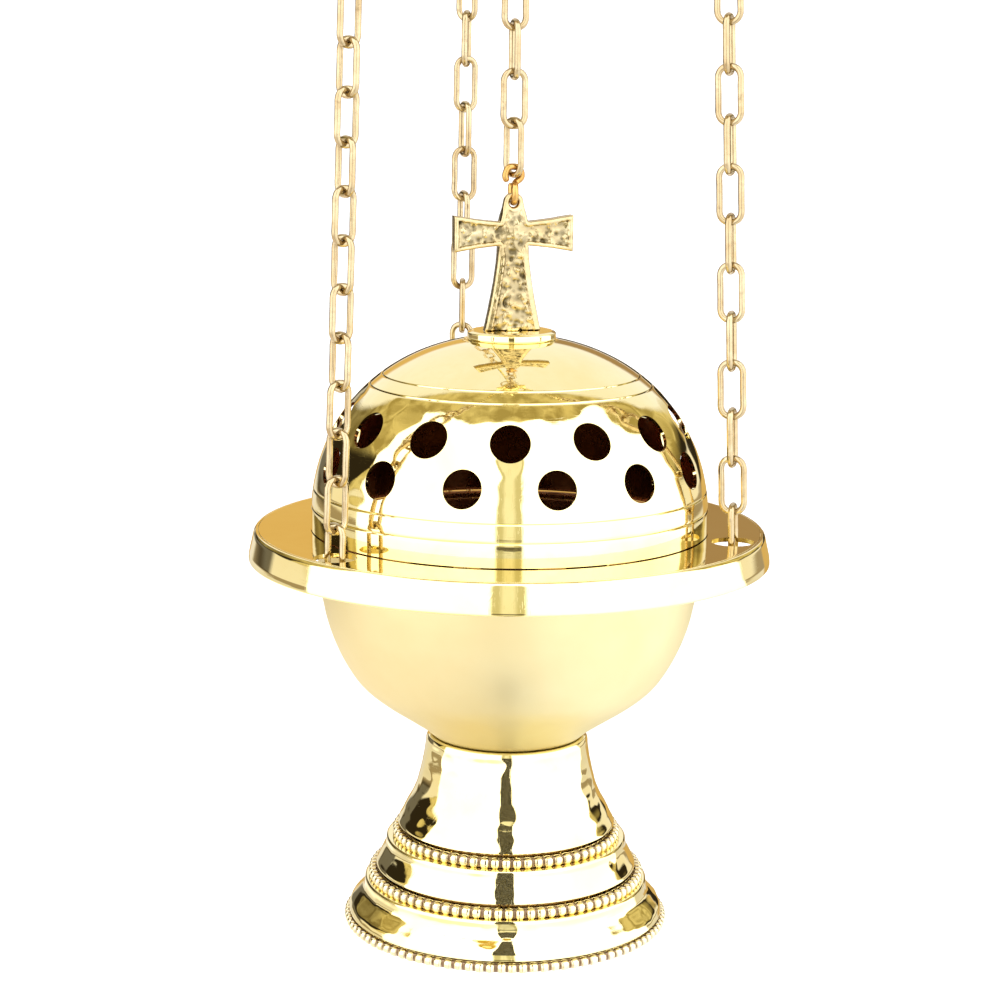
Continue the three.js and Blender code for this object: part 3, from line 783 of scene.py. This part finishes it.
def dome_curve(inset, step):
    """The dome's wall from its base up to the flat seat, as radius and height."""
    out = [(DOME_BASE_R - inset, DOME_BASE_Z + 0.1)]
    rise, reach = DOME_RISE - inset, DOME_BASE_R - inset
    out.append((reach, DOME_SPRING_Z))
    t = 0.0
    last = np.array(out[-1])
    while True:
        t += 0.0005
        point = np.array([
            reach * max(math.cos(t), 0) ** (2 / DOME_POWER),
            DOME_SPRING_Z + rise * math.sin(t) ** (2 / DOME_POWER),
        ])
        if point[0] < DOME_SEAT_R or t > math.pi / 2:
            break
        near = min(abs(point[1] - z) for z in DOME_GROOVES_Z)
        spacing = 0.13 if inset == 0 and near < 0.55 else step
        if np.linalg.norm(point - last) >= spacing:
            out.append(tuple(point))
            last = point
    return np.array(out)


def grooved(line):
    """Presses the engraved lines into the outside of the dome."""
    out = line.copy()
    tangents = np.gradient(line, axis=0)
    tangents /= np.linalg.norm(tangents, axis=1)[:, None]
    outward = np.column_stack([tangents[:, 1], -tangents[:, 0]])
    for z in DOME_GROOVES_Z:
        where = int(np.argmin(np.abs(line[:, 1] - z)))
        distance = np.linalg.norm(line - line[where], axis=1)
        out -= outward * (0.22 * np.exp(-(distance / 0.24) ** 2))[:, None]
    return out


def seat_line(z, step):
    """The flat seat inside the cap's curve, from its edge to the stud's hole."""
    inward = straight_line((DOME_SEAT_R - 0.5, z), (STUD_HOLE_R, z), step)
    return np.vstack([inward, [(STUD_HOLE_R, z)]])


outer_wall = grooved(dome_curve(0.0, 0.8))
inner_wall = dome_curve(DOME_WALL, 1.2)
seat_out = seat_line(DOME_SEAT_Z, 0.8)
seat_in = seat_line(DOME_SEAT_Z - DOME_WALL, 1.2)
dome_profile = np.vstack([outer_wall, seat_out, seat_in[::-1], inner_wall[::-1]])


def dome_weight(r, z):
    edge = float(np.interp(z, outer_wall[:, 1], outer_wall[:, 0]))
    if r < edge - 0.6 or z > 186:
        return 0.0
    return float(np.clip(min((z - 151.8) / 3, (185.4 - z) / 2), 0, 1))


DOME_SEGMENTS = 390
dome = turned("lid_dome_shell", dome_profile, "lid", [HAMMERED, SMOKED], DOME_SEGMENTS,
              ("lid_dome",), weight=dome_weight, seed=11, spacing=7.5, depth=0.12, sharp=38)
paint_inside(dome, DOME_SEGMENTS, len(outer_wall) + len(seat_out), len(dome_profile) - 1)


def vent_cutters():
    """A drill for each vent. Those at the far side are turned so that no two stand in line."""
    out = []
    for z, shift, radius, rise in VENT_ROWS:
        reach = float(np.interp(z, outer_wall[:, 1], outer_wall[:, 0]))
        drill, faces = along_x(peg(radius, -8, 8, 96), 0)
        c, s = math.cos(math.radians(rise)), math.sin(math.radians(rise))
        drill = drill @ np.array([[c, 0, s], [0, 1, 0], [-s, 0, c]]) + np.array([reach, 0, z])
        for i in range(VENTS_PER_ROW):
            even = (i + shift) * 2 * math.pi / VENTS_PER_ROW
            far = max(0.0, -math.cos(even)) * (1 - 1.25 * math.cos(even))
            offset = (VENT_UNEVENNESS - VENT_FAR_TURN * far) * math.sin(even)
            out.append((turn_z(drill, VENT_FIRST_AZIMUTH + math.degrees(even) + offset), faces))
    return out


cut(dome, vent_cutters(), 38)

BRIM_EDGE_R = 83.75
brim = turned("lid_brim_ring", rounded([
    (60.9, 135.75), (BRIM_EDGE_R, 135.75), (BRIM_EDGE_R, BRIM_TOP_Z), (60.9, BRIM_TOP_Z),
], 0.15, 0.9), "lid", [POLISHED, SMOKED], 288, ("lid_brim",),
    weight=lambda r, z: 0.6 if z > 137 and r < 83 else 0.0, seed=3, spacing=11, depth=0.03)
brim_hole, hole_faces = peg(BRIM_HOLE_R, 130, 141, 80)
brim_hole += np.array([BRIM_HOLE_CENTRE_R, 0, 0])
cut(brim, [(turn_z(brim_hole, azimuth), hole_faces) for azimuth in CHAIN_AZIMUTHS])
for polygon in brim.data.polygons:
    if math.hypot(polygon.center.x, polygon.center.y) < (DOME_BASE_R - 0.6) * MM:
        polygon.material_index = 1

turned("lid_band_ring", rounded([
    (85.95, 127.15, 0.3), (87.15, 127.15, 0.5), (86.9, 129.5, 3), (85.35, 136.3, 0.8),
    (84.6, 137.15, 0.5), (83.85, 137.15, 0.1), (83.85, 135.5, 0.2), (84.25, 135.2, 0.3),
], 0.3, 0.45), "lid", POLISHED, 288, ("lid_band",),
    weight=lambda r, z: 1.0 if 128 < z < 136 else 0.0, seed=8, spacing=14, depth=0.03)
turned("lid_spigot_ring", rounded([
    (60.7, 131.55), (61.9, 131.55), (61.9, 135.35), (60.7, 135.35),
], 0.25, 0.6), "lid", SMOKED, 240, ("lid_spigot",))

turned("knop_disc_ring", rounded([
    (STUD_HOLE_R, 200.55), (14.45, 200.55, 0.25), (14.65, 201.1, 0.3), (14.65, 202.9, 0.5),
    (13.5, 203.42, 0.9), (STUD_HOLE_R, 203.45),
], 0.2, 0.3), "lid", POLISHED, 160, ("knop_disc",), sharp=50)


# ---------------------------------------------------------------- cross

CROSS_EYE_Z = 245.4
CROSS_EYE_R = 3.2
CROSS_EYE_HOLE_R = 1.55
CROSS_HALF_THICKNESS = 2.5
CROSS_LUMPS = 1500
CROSS_RIGHT = [
    (9.4, 203.46), (8.5, 207.6), (7.6, 212.0), (6.8, 216.2), (6.1, 220.4), (5.4, 225.4), (4.9, 231.4),
    (9.0, 231.0), (13.0, 230.5), (16.6, 229.9), (20.0, 229.3), (20.0, 241.2), (16.6, 240.7),
    (13.0, 240.1), (9.0, 239.6), (4.6, 239.2), (3.9, 242.2),
]


def segment_distance(px, pz, a, b):
    """Distance from each point to a segment, and the nearest point on it."""
    ax, az = a
    dx, dz = b[0] - ax, b[1] - az
    t = np.clip(((px - ax) * dx + (pz - az) * dz) / (dx * dx + dz * dz), 0, 1)
    qx, qz = ax + t * dx, az + t * dz
    return np.hypot(px - qx, pz - qz), qx, qz


def inside_polygon(px, pz, polygon):
    inside = np.zeros(px.shape, bool)
    for (x0, z0), (x1, z1) in zip(polygon, np.roll(polygon, -1, 0)):
        crosses = (z0 > pz) != (z1 > pz)
        with np.errstate(divide="ignore", invalid="ignore"):
            at = (x1 - x0) * (pz - z0) / (z1 - z0) + x0
        inside ^= crosses & (px < at)
    return inside


def cross_grid():
    """The cross as a height field front and back: raised border, rough cast ground."""
    eye = arc((0, CROSS_EYE_Z), CROSS_EYE_R, 8, 172, 20)
    outline = np.array(CROSS_RIGHT + eye + [(-x, z) for x, z in CROSS_RIGHT[::-1]])
    cell = 0.3
    xs = np.arange(-20.6, 20.61, cell)
    zs = np.arange(203.2, 249.4, cell)
    gx, gz = np.meshgrid(xs, zs, indexing="ij")
    cx, cz = gx[:-1, :-1] + cell / 2, gz[:-1, :-1] + cell / 2
    hole = np.hypot(cx, cz - CROSS_EYE_Z) < CROSS_EYE_HOLE_R
    keep = inside_polygon(cx, cz, outline) & ~hole
    distance = np.full(gx.shape, 1e9)
    near_x, near_z = gx.copy(), gz.copy()
    for a, b in zip(outline, np.roll(outline, -1, 0)):
        d, qx, qz = segment_distance(gx, gz, a, b)
        closer = d < distance
        distance[closer], near_x[closer], near_z[closer] = d[closer], qx[closer], qz[closer]
    to_hole = np.hypot(gx, gz - CROSS_EYE_Z)
    d = np.abs(to_hole - CROSS_EYE_HOLE_R)
    closer = d < distance
    scale = CROSS_EYE_HOLE_R / np.maximum(to_hole, 1e-6)
    near_x[closer] = (gx * scale)[closer]
    near_z[closer] = ((gz - CROSS_EYE_Z) * scale + CROSS_EYE_Z)[closer]
    distance[closer] = d[closer]
    padded = np.pad(keep, 1)
    around = np.array([padded[:-1, :-1], padded[1:, :-1], padded[:-1, 1:], padded[1:, 1:]])
    used = around.any(0)
    edge = used & ~around.all(0)
    gx[edge], gz[edge] = near_x[edge], near_z[edge]
    distance[edge] = 0
    return gx, gz, distance, keep, used


def cast_ground(gx, gz, seed):
    """Lumps a millimetre or so across."""
    rng = np.random.default_rng(seed)
    height = np.zeros(gx.shape)
    for _ in range(CROSS_LUMPS):
        x, z = rng.uniform(-20, 20), rng.uniform(203, 249)
        size = rng.uniform(0.4, 0.95)
        height += rng.uniform(-0.5, 0.5) * np.exp(-((gx - x) ** 2 + (gz - z) ** 2) / size ** 2)
    return height


def ease(value, low, high):
    t = np.clip((value - low) / (high - low), 0, 1)
    return t * t * (3 - 2 * t)


def make_cross():
    gx, gz, distance, keep, used = cross_grid()
    index = -np.ones(gx.shape, int)
    index[used] = np.arange(used.sum())
    verts, patina = [], []
    for face, seed in ((-1, 21), (1, 22)):
        lumps = cast_ground(gx, gz, seed)
        rim = ease(distance, 0.0, 0.5)
        stem = ease(231.0 - gz, 0.0, 3.0)
        side = (9.3 - (gz - 203.5) * 0.16) - np.abs(gx)
        inset = np.where(stem > 0, np.minimum(distance + 3 * (gz < 206), side), distance)
        frame = 1.15 + stem * 0.85
        ground = ease(inset, frame, frame + 0.55)
        boss = np.exp(-((gx / 3.0) ** 2 + ((gz - 235.3) / 3.8) ** 2))
        half = CROSS_HALF_THICKNESS - 0.5 * (1 - rim) ** 2
        half -= stem * (1 - ground) * 0.45 * np.clip((frame - inset) / frame, 0, 1)
        half -= ground * (0.8 - 0.75 * boss) - ground * lumps
        half += (1 - ground) * lumps * 0.10
        thin = ease(gz, 240.8, 244.2)
        half = half * (1 - thin) + thin * (1.4 - 0.4 * (1 - rim) ** 2)
        y = face * half
        verts.append(np.column_stack([gx[used], y[used], gz[used]]))
        hollow = ground * np.clip(0.35 - lumps * 1.8, 0, 1) * (1 - 0.6 * boss) * (1 - thin)
        patina.append(hollow[used])
    count = used.sum()
    ix, iz = np.nonzero(keep)
    quads = np.stack([index[ix, iz], index[ix + 1, iz], index[ix + 1, iz + 1],
                      index[ix, iz + 1]], -1)
    faces = [tuple(q) for q in quads] + [tuple(q[::-1] + count) for q in quads]
    edges = {(int(a), int(b)): True for q in quads for a, b in zip(q, np.roll(q, -1))}
    faces += [(b, a, a + count, b + count) for a, b in edges if (b, a) not in edges]
    return np.vstack(verts), faces, np.concatenate(patina)


verts, faces, patina = make_cross()
set_attribute(add("cross_casting", verts, faces, "lid", CAST_CROSS, ("cross",), sharp=50),
              "patina", patina)
add("cross_stud", *threaded(2.88, 190.6, 204.2), "lid", CAST, slot="cross", sharp=30)

hook_low, hook_high = CROSS_EYE_Z, CENTRE_CHAIN_Z + 1.6
hook_path = smooth_line([
    (0, 2.9, hook_low + 5.2), (0, 2.8, hook_low + 2.6), (0, 1.8, hook_low + 0.5), (0, 0, hook_low),
    (0, -1.9, hook_low + 0.6), (0, -2.8, hook_low + 2.7), (0, -2.4, hook_low + 4.9),
    (0.6, -0.4, hook_low + 6.4), (2.4, 0, hook_low + 7.8), (2.7, 0, hook_high - 2.3),
    (1.8, 0, hook_high - 0.5), (0, 0, hook_high), (-1.8, 0, hook_high - 0.5),
    (-2.7, 0, hook_high - 2.6), (-2.5, 0, hook_high - 4.0)], 0.45)
add("cross_hook_wire", *sweep(hook_path, 1.1, 16), "lid", HOOK_BRASS, ("cross_hook",), sharp=60)


# ---------------------------------------------------------------- chains

def link_path(width, length, steps=15):
    """The centre line of one link, a flattened oval in the X-Z plane."""
    reach = (width - WIRE) / 2
    straight = (length - WIRE) / 2 - reach
    points = []
    for side in (1, -1):
        for i in range(steps):
            t = math.pi * i / (steps - 1)
            x = reach * math.copysign(abs(math.cos(t)) ** 0.86, math.cos(t))
            z = reach * math.sin(t) ** 0.94
            points.append((side * x, 0, side * (straight + z)))
        for i in (1, 2, 3):
            z = straight * (1 - i / 2)
            points.append((-side * reach * 0.985, 0, side * z))
    return np.array(points)


def chain(name, pitches, body, place_link, seed):
    """One node's links, each a little different. The first of them replaces the node."""
    rng = np.random.default_rng(seed)
    for i, pitch in enumerate(pitches):
        path = link_path(LINK_WIDTH * rng.uniform(0.98, 1.03), pitch + 2 * WIRE)
        path = turn_z(path, rng.uniform(-5, 5))
        verts, faces = sweep(path, WIRE / 2, 14, closed=True)
        add(f"{name}_link_{i + 1:02d}", place_link(verts, i), faces, body, WIRE_BRASS,
            (name,) if i == 0 else (), slot=name, sharp=60)


def outer_place(azimuth, pitches, drop, twist):
    """Where an outer chain's links go: drop lowers them and twist turns each one."""
    lean = math.atan(CHAIN_LEAN)
    ends = np.cumsum([0.0] + pitches)

    def place_link(verts, i):
        v = turn_z(verts, 90 + 90 * (i % 2) + twist[i])
        v += np.array([0, 0, (ends[i] + ends[i + 1]) / 2 - drop])
        c, s = math.cos(lean), math.sin(lean)
        v = np.column_stack([c * v[:, 0] - s * v[:, 2], v[:, 1], s * v[:, 0] + c * v[:, 2]])
        return turn_z(v + np.array([OUTER_CHAIN_R, 0, OUTER_CHAIN_Z]), azimuth)
    return place_link


def centre_place(verts, i):
    turn = 90 + 90 * (i % 2) + (FIRST_LINK_TWIST if i == 0 else 0)
    return turn_z(verts, turn) + np.array([0, 0, CENTRE_CHAIN_Z + (i + 0.5) * LINK_PITCH])


# The second chain's links came out shorter, so its two end links are longer.
OUTER_RUN = OUTER_LINKS * LINK_PITCH
SHORT_PITCH = 15.05
SHORT_DROP = 1.0
BACK_TWIST = 100.0
for number, azimuth in enumerate(CHAIN_AZIMUTHS, 1):
    if number == 2:
        end_pitch = (OUTER_RUN + SHORT_DROP - 11 * SHORT_PITCH) / 2
        pitches, drop = [SHORT_PITCH] * 11 + [end_pitch] * 2, SHORT_DROP
    else:
        pitches, drop = [LINK_PITCH] * OUTER_LINKS, 0.0
    # The first chain hangs with a turn in it, which its end links take up.
    most = BACK_TWIST if number == 1 else 0.0
    twist = [most * min(1, i / 5, (OUTER_LINKS - 1 - i) / 3) for i in range(OUTER_LINKS)]
    chain(f"chain_{number}", pitches, "censer", outer_place(azimuth, pitches, drop, twist),
          30 + number)
chain("centre_chain", [LINK_PITCH] * CENTRE_LINKS, "lid", centre_place, 50)


# ---------------------------------------------------------------- spreader, bail and rings

ARM_EYE = (68.8, 337.6)
hub = revolve(rounded([
    (7.1, 345.1, 0.3), (9.2, 345.1, 0.5), (10.4, 346.6, 0.6), (10.4, 349.5, 0.2), (10.0, 350.0, 0.2),
    (10.0, 354.6, 0.2), (10.4, 355.1, 0.2), (10.4, 357.6, 0.6), (9.3, 359.0, 0.4), (7.1, 359.0, 0.3),
], 0.3, 0.35), 120, True)
add("spreader_hub", *hub, "censer", CAST, ("spreader",), sharp=40)
arm_outline = rounded(
    [(9.4, 345.9, 0.3), (30.0, 346.6, 8), (48.0, 345.0, 8), (58.0, 341.0, 5), (64.6, 335.9, 0.2)]
    + [(x, z, 0.05) for x, z in arc(ARM_EYE, 4.55, -155, 70, 18)]
    + [(60.0, 347.2, 6), (48.0, 350.3, 8), (30.0, 351.5, 8), (9.4, 351.1, 0.3)], 0.5, 0.8)
arm_hole = across_y(peg(EYE_HOLE_R, -4, 4, 40), ARM_EYE)
for number, azimuth in enumerate(CHAIN_AZIMUTHS, 1):
    arm = add(f"spreader_arm_{number}", *turn_mesh(extrude_xz(arm_outline, 1.28), azimuth),
              "censer", CAST, slot="spreader", sharp=35)
    cut(arm, [turn_mesh(arm_hole, azimuth)])

turned("guide_bush_sleeve", rounded([
    (5.25, 343.1, 0.4), (6.65, 343.1, 0.3), (6.65, 359.3, 0.3), (7.6, 359.45, 0.2),
    (11.9, 359.5, 0.6), (11.9, 361.0, 0.8), (11.0, 361.7, 0.5), (6.4, 361.7, 0.8), (5.25, 360.6, 0.5),
], 0.3, 0.5), "censer", POLISHED, 120, ("guide_bush",), sharp=45)

PIN_Z = 352.6
pin = along_x(revolve(rounded([
    (0.3, 7.7), (1.7, 7.7, 0.2), (1.95, 8.1, 0.1), (1.95, 11.05, 0.1), (3.35, 11.05, 0.3),
    (3.35, 12.45, 0.3), (1.95, 12.45, 0.1), (1.95, 17.6, 0.1), (3.7, 17.6, 0.3),
    (3.7, 18.6, 0.5), (2.6, 19.5, 0.8), (0.3, 19.6)], 0.2, 0.35, False), 48, capped=True), PIN_Z)
SIDES = (("right", 0), ("left", 180))
for side, turn in SIDES:
    add(f"bail_pin_{side}_rivet", *turn_mesh(pin, turn), "censer", POLISHED,
        (f"bail_pin_{side}",), sharp=35)

leg = [(15.0, 355.9), (15.6, 360.0), (18.2, 367.0), (22.6, 378.0), (25.0, 392.0), (25.4, 410.0),
       (24.4, 428.0), (20.4, 444.0), (12.0, 455.0)]
bow_path = smooth_line(
    [(x, 0, z) for x, z in leg] + [(0, 0, 459.0)] + [(-x, 0, z) for x, z in leg[::-1]], 1.2)
add("bail_bow", *sweep(bow_path, 2.18, 20), "bail", POLISHED, ("bail",), sharp=60)
eye_section = rounded([(4.55, -1.65), (6.5, -1.65), (6.5, 1.65), (4.55, 1.65)], 0.6, 0.35)
eye = revolve(eye_section, 96, True)
add("bail_crown_eye", *across_y(eye, (0, 464.9)), "bail", POLISHED, slot="bail")
boss = along_x(revolve(rounded([
    (2.4, 13.05), (3.6, 13.05, 0.3), (4.15, 13.6, 0.4), (4.15, 16.4, 0.4), (3.6, 16.95, 0.3),
    (2.4, 16.95)], 0.3, 0.35), 72, True), PIN_Z)
for side, turn in SIDES:
    add(f"bail_boss_{side}", *turn_mesh(boss, turn), "bail", POLISHED, slot="bail")

t = np.arange(96) * 2 * math.pi / 96
ring_path = np.column_stack([np.zeros(96), 13 * np.cos(t), 479.7 + 13 * np.sin(t)])
add("hanging_ring_wire", *sweep(ring_path, 1.98, 20, closed=True), "hanger", POLISHED,
    ("hanging_ring",), sharp=60)
pull_path = np.column_stack([11 * np.cos(t), 11 + 11 * np.sin(t), np.full(96, 363.4)])
add("pull_ring_wire", *sweep(pull_path, 1.28, 16, closed=True), "pull_ring", WIRE_BRASS,
    ("pull_ring",), sharp=60)


# ---------------------------------------------------------------- floor, light and camera

FLOOR_GAP = 1.2
WALL_DISTANCE = 2.8


def matte(name, scale, detail, stops, roughness):
    """A dull surface mottled between two greys."""
    material = bpy.data.materials.new(name)
    tree, shader = node_tree(material)
    tree.links.new(ramp(tree, noise(tree, scale, detail), stops), shader.inputs["Base Color"])
    shader.inputs["Roughness"].default_value = roughness
    return material, shader


def make_floor():
    """A pale floor that sweeps up into a wall a long way off on every side."""
    profile = rounded([(0.02, 0.0), (WALL_DISTANCE, 0.0, 0.9), (WALL_DISTANCE, 2.6)], 0.9, 0.05,
                      False)
    verts, faces = revolve(profile, 96)
    faces.append(tuple(range(96))[::-1])
    obj = make_object("floor", verts + np.array([0, 0, FOOT_UNDERSIDE - FLOOR_GAP]), faces)
    obj.data.polygons.foreach_set("use_smooth", [True] * len(obj.data.polygons))
    paper, shader = matte("paper", 900.0, 4.0, [(0.3, 0.93), (0.7, 0.96)], 0.95)
    shader.inputs["Specular IOR Level"].default_value = 0.0
    obj.data.materials.append(paper)
    obj.visible_glossy = False


make_floor()


# How bright each part of the studio is, where 1 is a soft box.
SOFT_BOX = (2.5, 2.5, 2.6)
BACK_WALL = (1.12, 1.10, 1.12)
CEILING = (0.46, 0.36, 0.13)
CEILING_LIGHT = (0.86, 0.72, 0.34)
GAP_SHADE = (0.030, 0.022, 0.012)
BACK_FLOOR = (0.80, 0.52, 0.17)
BACK_RIGHT = (0.42, 0.27, 0.12)
SEAM = (0.80, 0.74, 0.46)
SEAM_LOW = (0.19, 0.165, 0.11)
SEAM_MIDDLE = (1.15, 1.10, 0.86)
LOW_SIDE = (1.05, 0.98, 0.86)
RAIL = (0.45, 0.36, 0.24)
FILL = (1.45, 1.32, 1.20)


def make_world():
    """A white studio with the dark gaps between its soft boxes that polished metal picks up."""
    world = bpy.data.worlds.new("studio")
    bpy.context.scene.world = world
    world.use_nodes = True
    tree = world.node_tree
    tree.nodes.clear()
    coords = new_node(tree, "TexCoord").outputs["Generated"]
    turned_to_view = new_node(tree, "VectorRotate", {
        "Vector": coords, "Angle": math.radians(-VIEW_AZIMUTH)}, rotation_type="Z_AXIS")
    direction = turned_to_view.outputs["Vector"]
    split = new_node(tree, "SeparateXYZ", {"Vector": direction})
    front, right, up = (split.outputs[axis] for axis in "XYZ")
    heading = scalar(tree, "ARCTAN2", right, front)
    off_axis = scalar(tree, "ABSOLUTE", heading)

    def mix(factor, a, b):
        return mix_colour(tree, factor, a, b)

    def add_up(a, b):
        return scalar(tree, "ADD", a, b)

    def scaled(value, factor, base):
        """value * factor + base"""
        return scalar(tree, "MULTIPLY_ADD", value, factor, base)

    def product(*factors):
        out = factors[0]
        for factor in factors[1:]:
            out = scalar(tree, "MULTIPLY", out, factor)
        return out

    def step(value, low, high):
        return spread_to(tree, value, 0.0, 1.0, low, high, "SMOOTHSTEP")

    def span(value, start, full, ebb, end):
        """1 from full to ebb, eased off to 0 at start and end."""
        return scalar(tree, "SUBTRACT", step(value, start, full), step(value, ebb, end))

    def turn_step(low, high):
        return step(heading, math.radians(low), math.radians(high))

    def sector(*degrees):
        return span(heading, *(math.radians(d) for d in degrees))

    # Where the two front boxes end, as how far forward a direction has to point.
    edge = scaled(scaled(up, 0.37, -0.38), step(right, -0.12, 0.12), -0.12)
    edge = scaled(step(up, 0.80, 0.965), 0.41, edge)
    in_front = step(scalar(tree, "SUBTRACT", front, edge), -0.02, 0.02)
    # The wall behind, seen over the top of the dark gap.
    over = scaled(up, 0.88, -1.05)
    behind = product(step(scalar(tree, "SUBTRACT", over, front), -0.02, 0.02), step(up, 0.05, 0.08))
    # The gap shows a mottled ceiling, with black low down beside the boxes and dusk above it.
    clouds = new_node(tree, "TexNoise", {"Vector": direction, "Scale": 9.0, "Detail": 5.0})
    light_patches = spread_to(tree, clouds.outputs["Fac"], 0.0, 1.0, 0.40, 0.62)
    ceiling = mix(light_patches, CEILING, CEILING_LIGHT)
    low_left = product(step(scaled(up, -0.71, front), -0.385, -0.415),
                       step(scaled(front, -0.36, up), 0.50, 0.43),
                       step(right, 0.0, -0.1), turn_step(-168, -160))
    dusk = product(sector(-168, -160, -115, -109), 0.6, step(up, 0.60, 0.38))
    gap = mix(scalar(tree, "MAXIMUM", low_left, dusk), ceiling, GAP_SHADE)
    gap = mix(product(sector(119, 123, 146, 150), step(up, 0.26, 0.14)), gap, GAP_SHADE)
    # Straight behind there is warm floor with a dark band at the horizon.
    far = product(add_up(turn_step(147, 151), turn_step(-162, -166)), step(up, 0.16, 0.10))
    far_shade = mix(span(up, -0.10, -0.07, 0.05, 0.08), BACK_FLOOR, GAP_SHADE)
    gap = mix(far, gap, far_shade)
    # Below the horizon the gap is a pale wall with a dark rail along it, darkest on the left.
    rail = product(span(up, -0.15, -0.13, -0.08, -0.05), sector(-154, -148, 148, 154))
    low = mix(rail, LOW_SIDE, RAIL)
    left_edge = product(sector(-166, -158, -129, -123), 0.85, step(up, -0.14, -0.08))
    low = mix(left_edge, low, GAP_SHADE)
    gap = mix(step(up, 0.05, 0.09), low, gap)
    gap = mix(product(far, span(up, -0.30, -0.24, 0.04, 0.08)), gap, far_shade)
    light = mix(behind, gap, BACK_WALL)
    # Low at the back there is only warm floor on the left and wainscot on the right.
    low_back = product(step(front, -0.90, -0.94), span(up, 0.085, 0.10, 0.26, 0.32))
    light = mix(low_back, light, mix(step(right, 0.02, 0.07), BACK_FLOOR, BACK_RIGHT))
    # A duller seam between the front boxes, straight above the camera.
    seam = product(step(off_axis, 0.15, 0.11), step(up, 0.85, 0.72))
    seam_colour = mix(step(off_axis, 0.03, 0.075), SEAM_MIDDLE, SEAM)
    seam_colour = mix(span(up, -0.142, -0.136, -0.08, -0.04), seam_colour, SEAM_LOW)
    light = mix(in_front, light, mix(seam, SOFT_BOX, seam_colour))
    # The floor falls off into shade.
    floor = ramp(tree, scaled(up, 0.5, 0.5), [
        (0.0, 0.62), (0.12, 0.66), (0.28, 0.72), (0.40, 0.84), (0.47, 1.0), (1.0, 1.0)])
    light = mix_colour(tree, 1.0, light, floor, "MULTIPLY")
    # A fill light low down on the left.
    light = mix(product(step(up, -0.24, -0.36), step(right, 0.0, -0.3)), light, FILL)
    background = new_node(tree, "Background", {"Color": light, "Strength": 1.0})
    new_node(tree, "OutputWorld", {"Surface": background.outputs["Background"]})


make_world()


def make_camera():
    data = bpy.data.cameras.new("camera")
    data.lens = 89.74
    data.sensor_width = 36.0
    data.clip_end = 50.0
    camera = bpy.data.objects.new("camera", data)
    bpy.context.scene.collection.objects.link(camera)
    heading, pitch, roll = (math.radians(angle) for angle in (76.226, 10.99, 0.627))
    forward = np.array([math.cos(heading) * math.cos(pitch), math.sin(heading) * math.cos(pitch),
                        -math.sin(pitch)])
    right = np.cross(forward, [0, 0, 1])
    right /= np.linalg.norm(right)
    up = np.cross(right, forward)
    right, up = (math.cos(roll) * right + math.sin(roll) * up,
                 -math.sin(roll) * right + math.cos(roll) * up)
    position = (-0.1981, -0.7945, FOOT_UNDERSIDE + 0.3052)
    axes = np.column_stack([right, up, -forward, position])
    camera.matrix_world = Matrix([*axes.tolist(), (0, 0, 0, 1)])
    bpy.context.scene.camera = camera


make_camera()


def make_flag():
    """A narrow dark card leaning in front of the foot, which only reflections see."""
    half, low, high = 0.0075, (0.076, 0.014), (0.074, 0.079)
    rng = np.random.default_rng(5)
    rows, columns = 24, 8
    verts = []
    for reach, z in np.linspace(low, high, rows + 1):
        for across in np.linspace(-half, half, columns + 1):
            verts.append((reach + rng.uniform(-0.0003, 0.0003), across, FOOT_UNDERSIDE + z))
    corners = [i * (columns + 1) + j for i in range(rows) for j in range(columns)]
    faces = [(a, a + 1, a + columns + 2, a + columns + 1) for a in corners]
    obj = make_object("flag", turn_z(verts, VIEW_AZIMUTH), faces)
    obj.data.materials.append(matte("black_cloth", 700.0, 3.0, [(0.3, 0.08), (0.7, 0.15)], 0.9)[0])
    obj.visible_camera = False
    obj.visible_diffuse = False
    obj.visible_shadow = False


make_flag()

view = bpy.context.scene.view_settings
view.view_transform = "Standard"
view.look = "None"
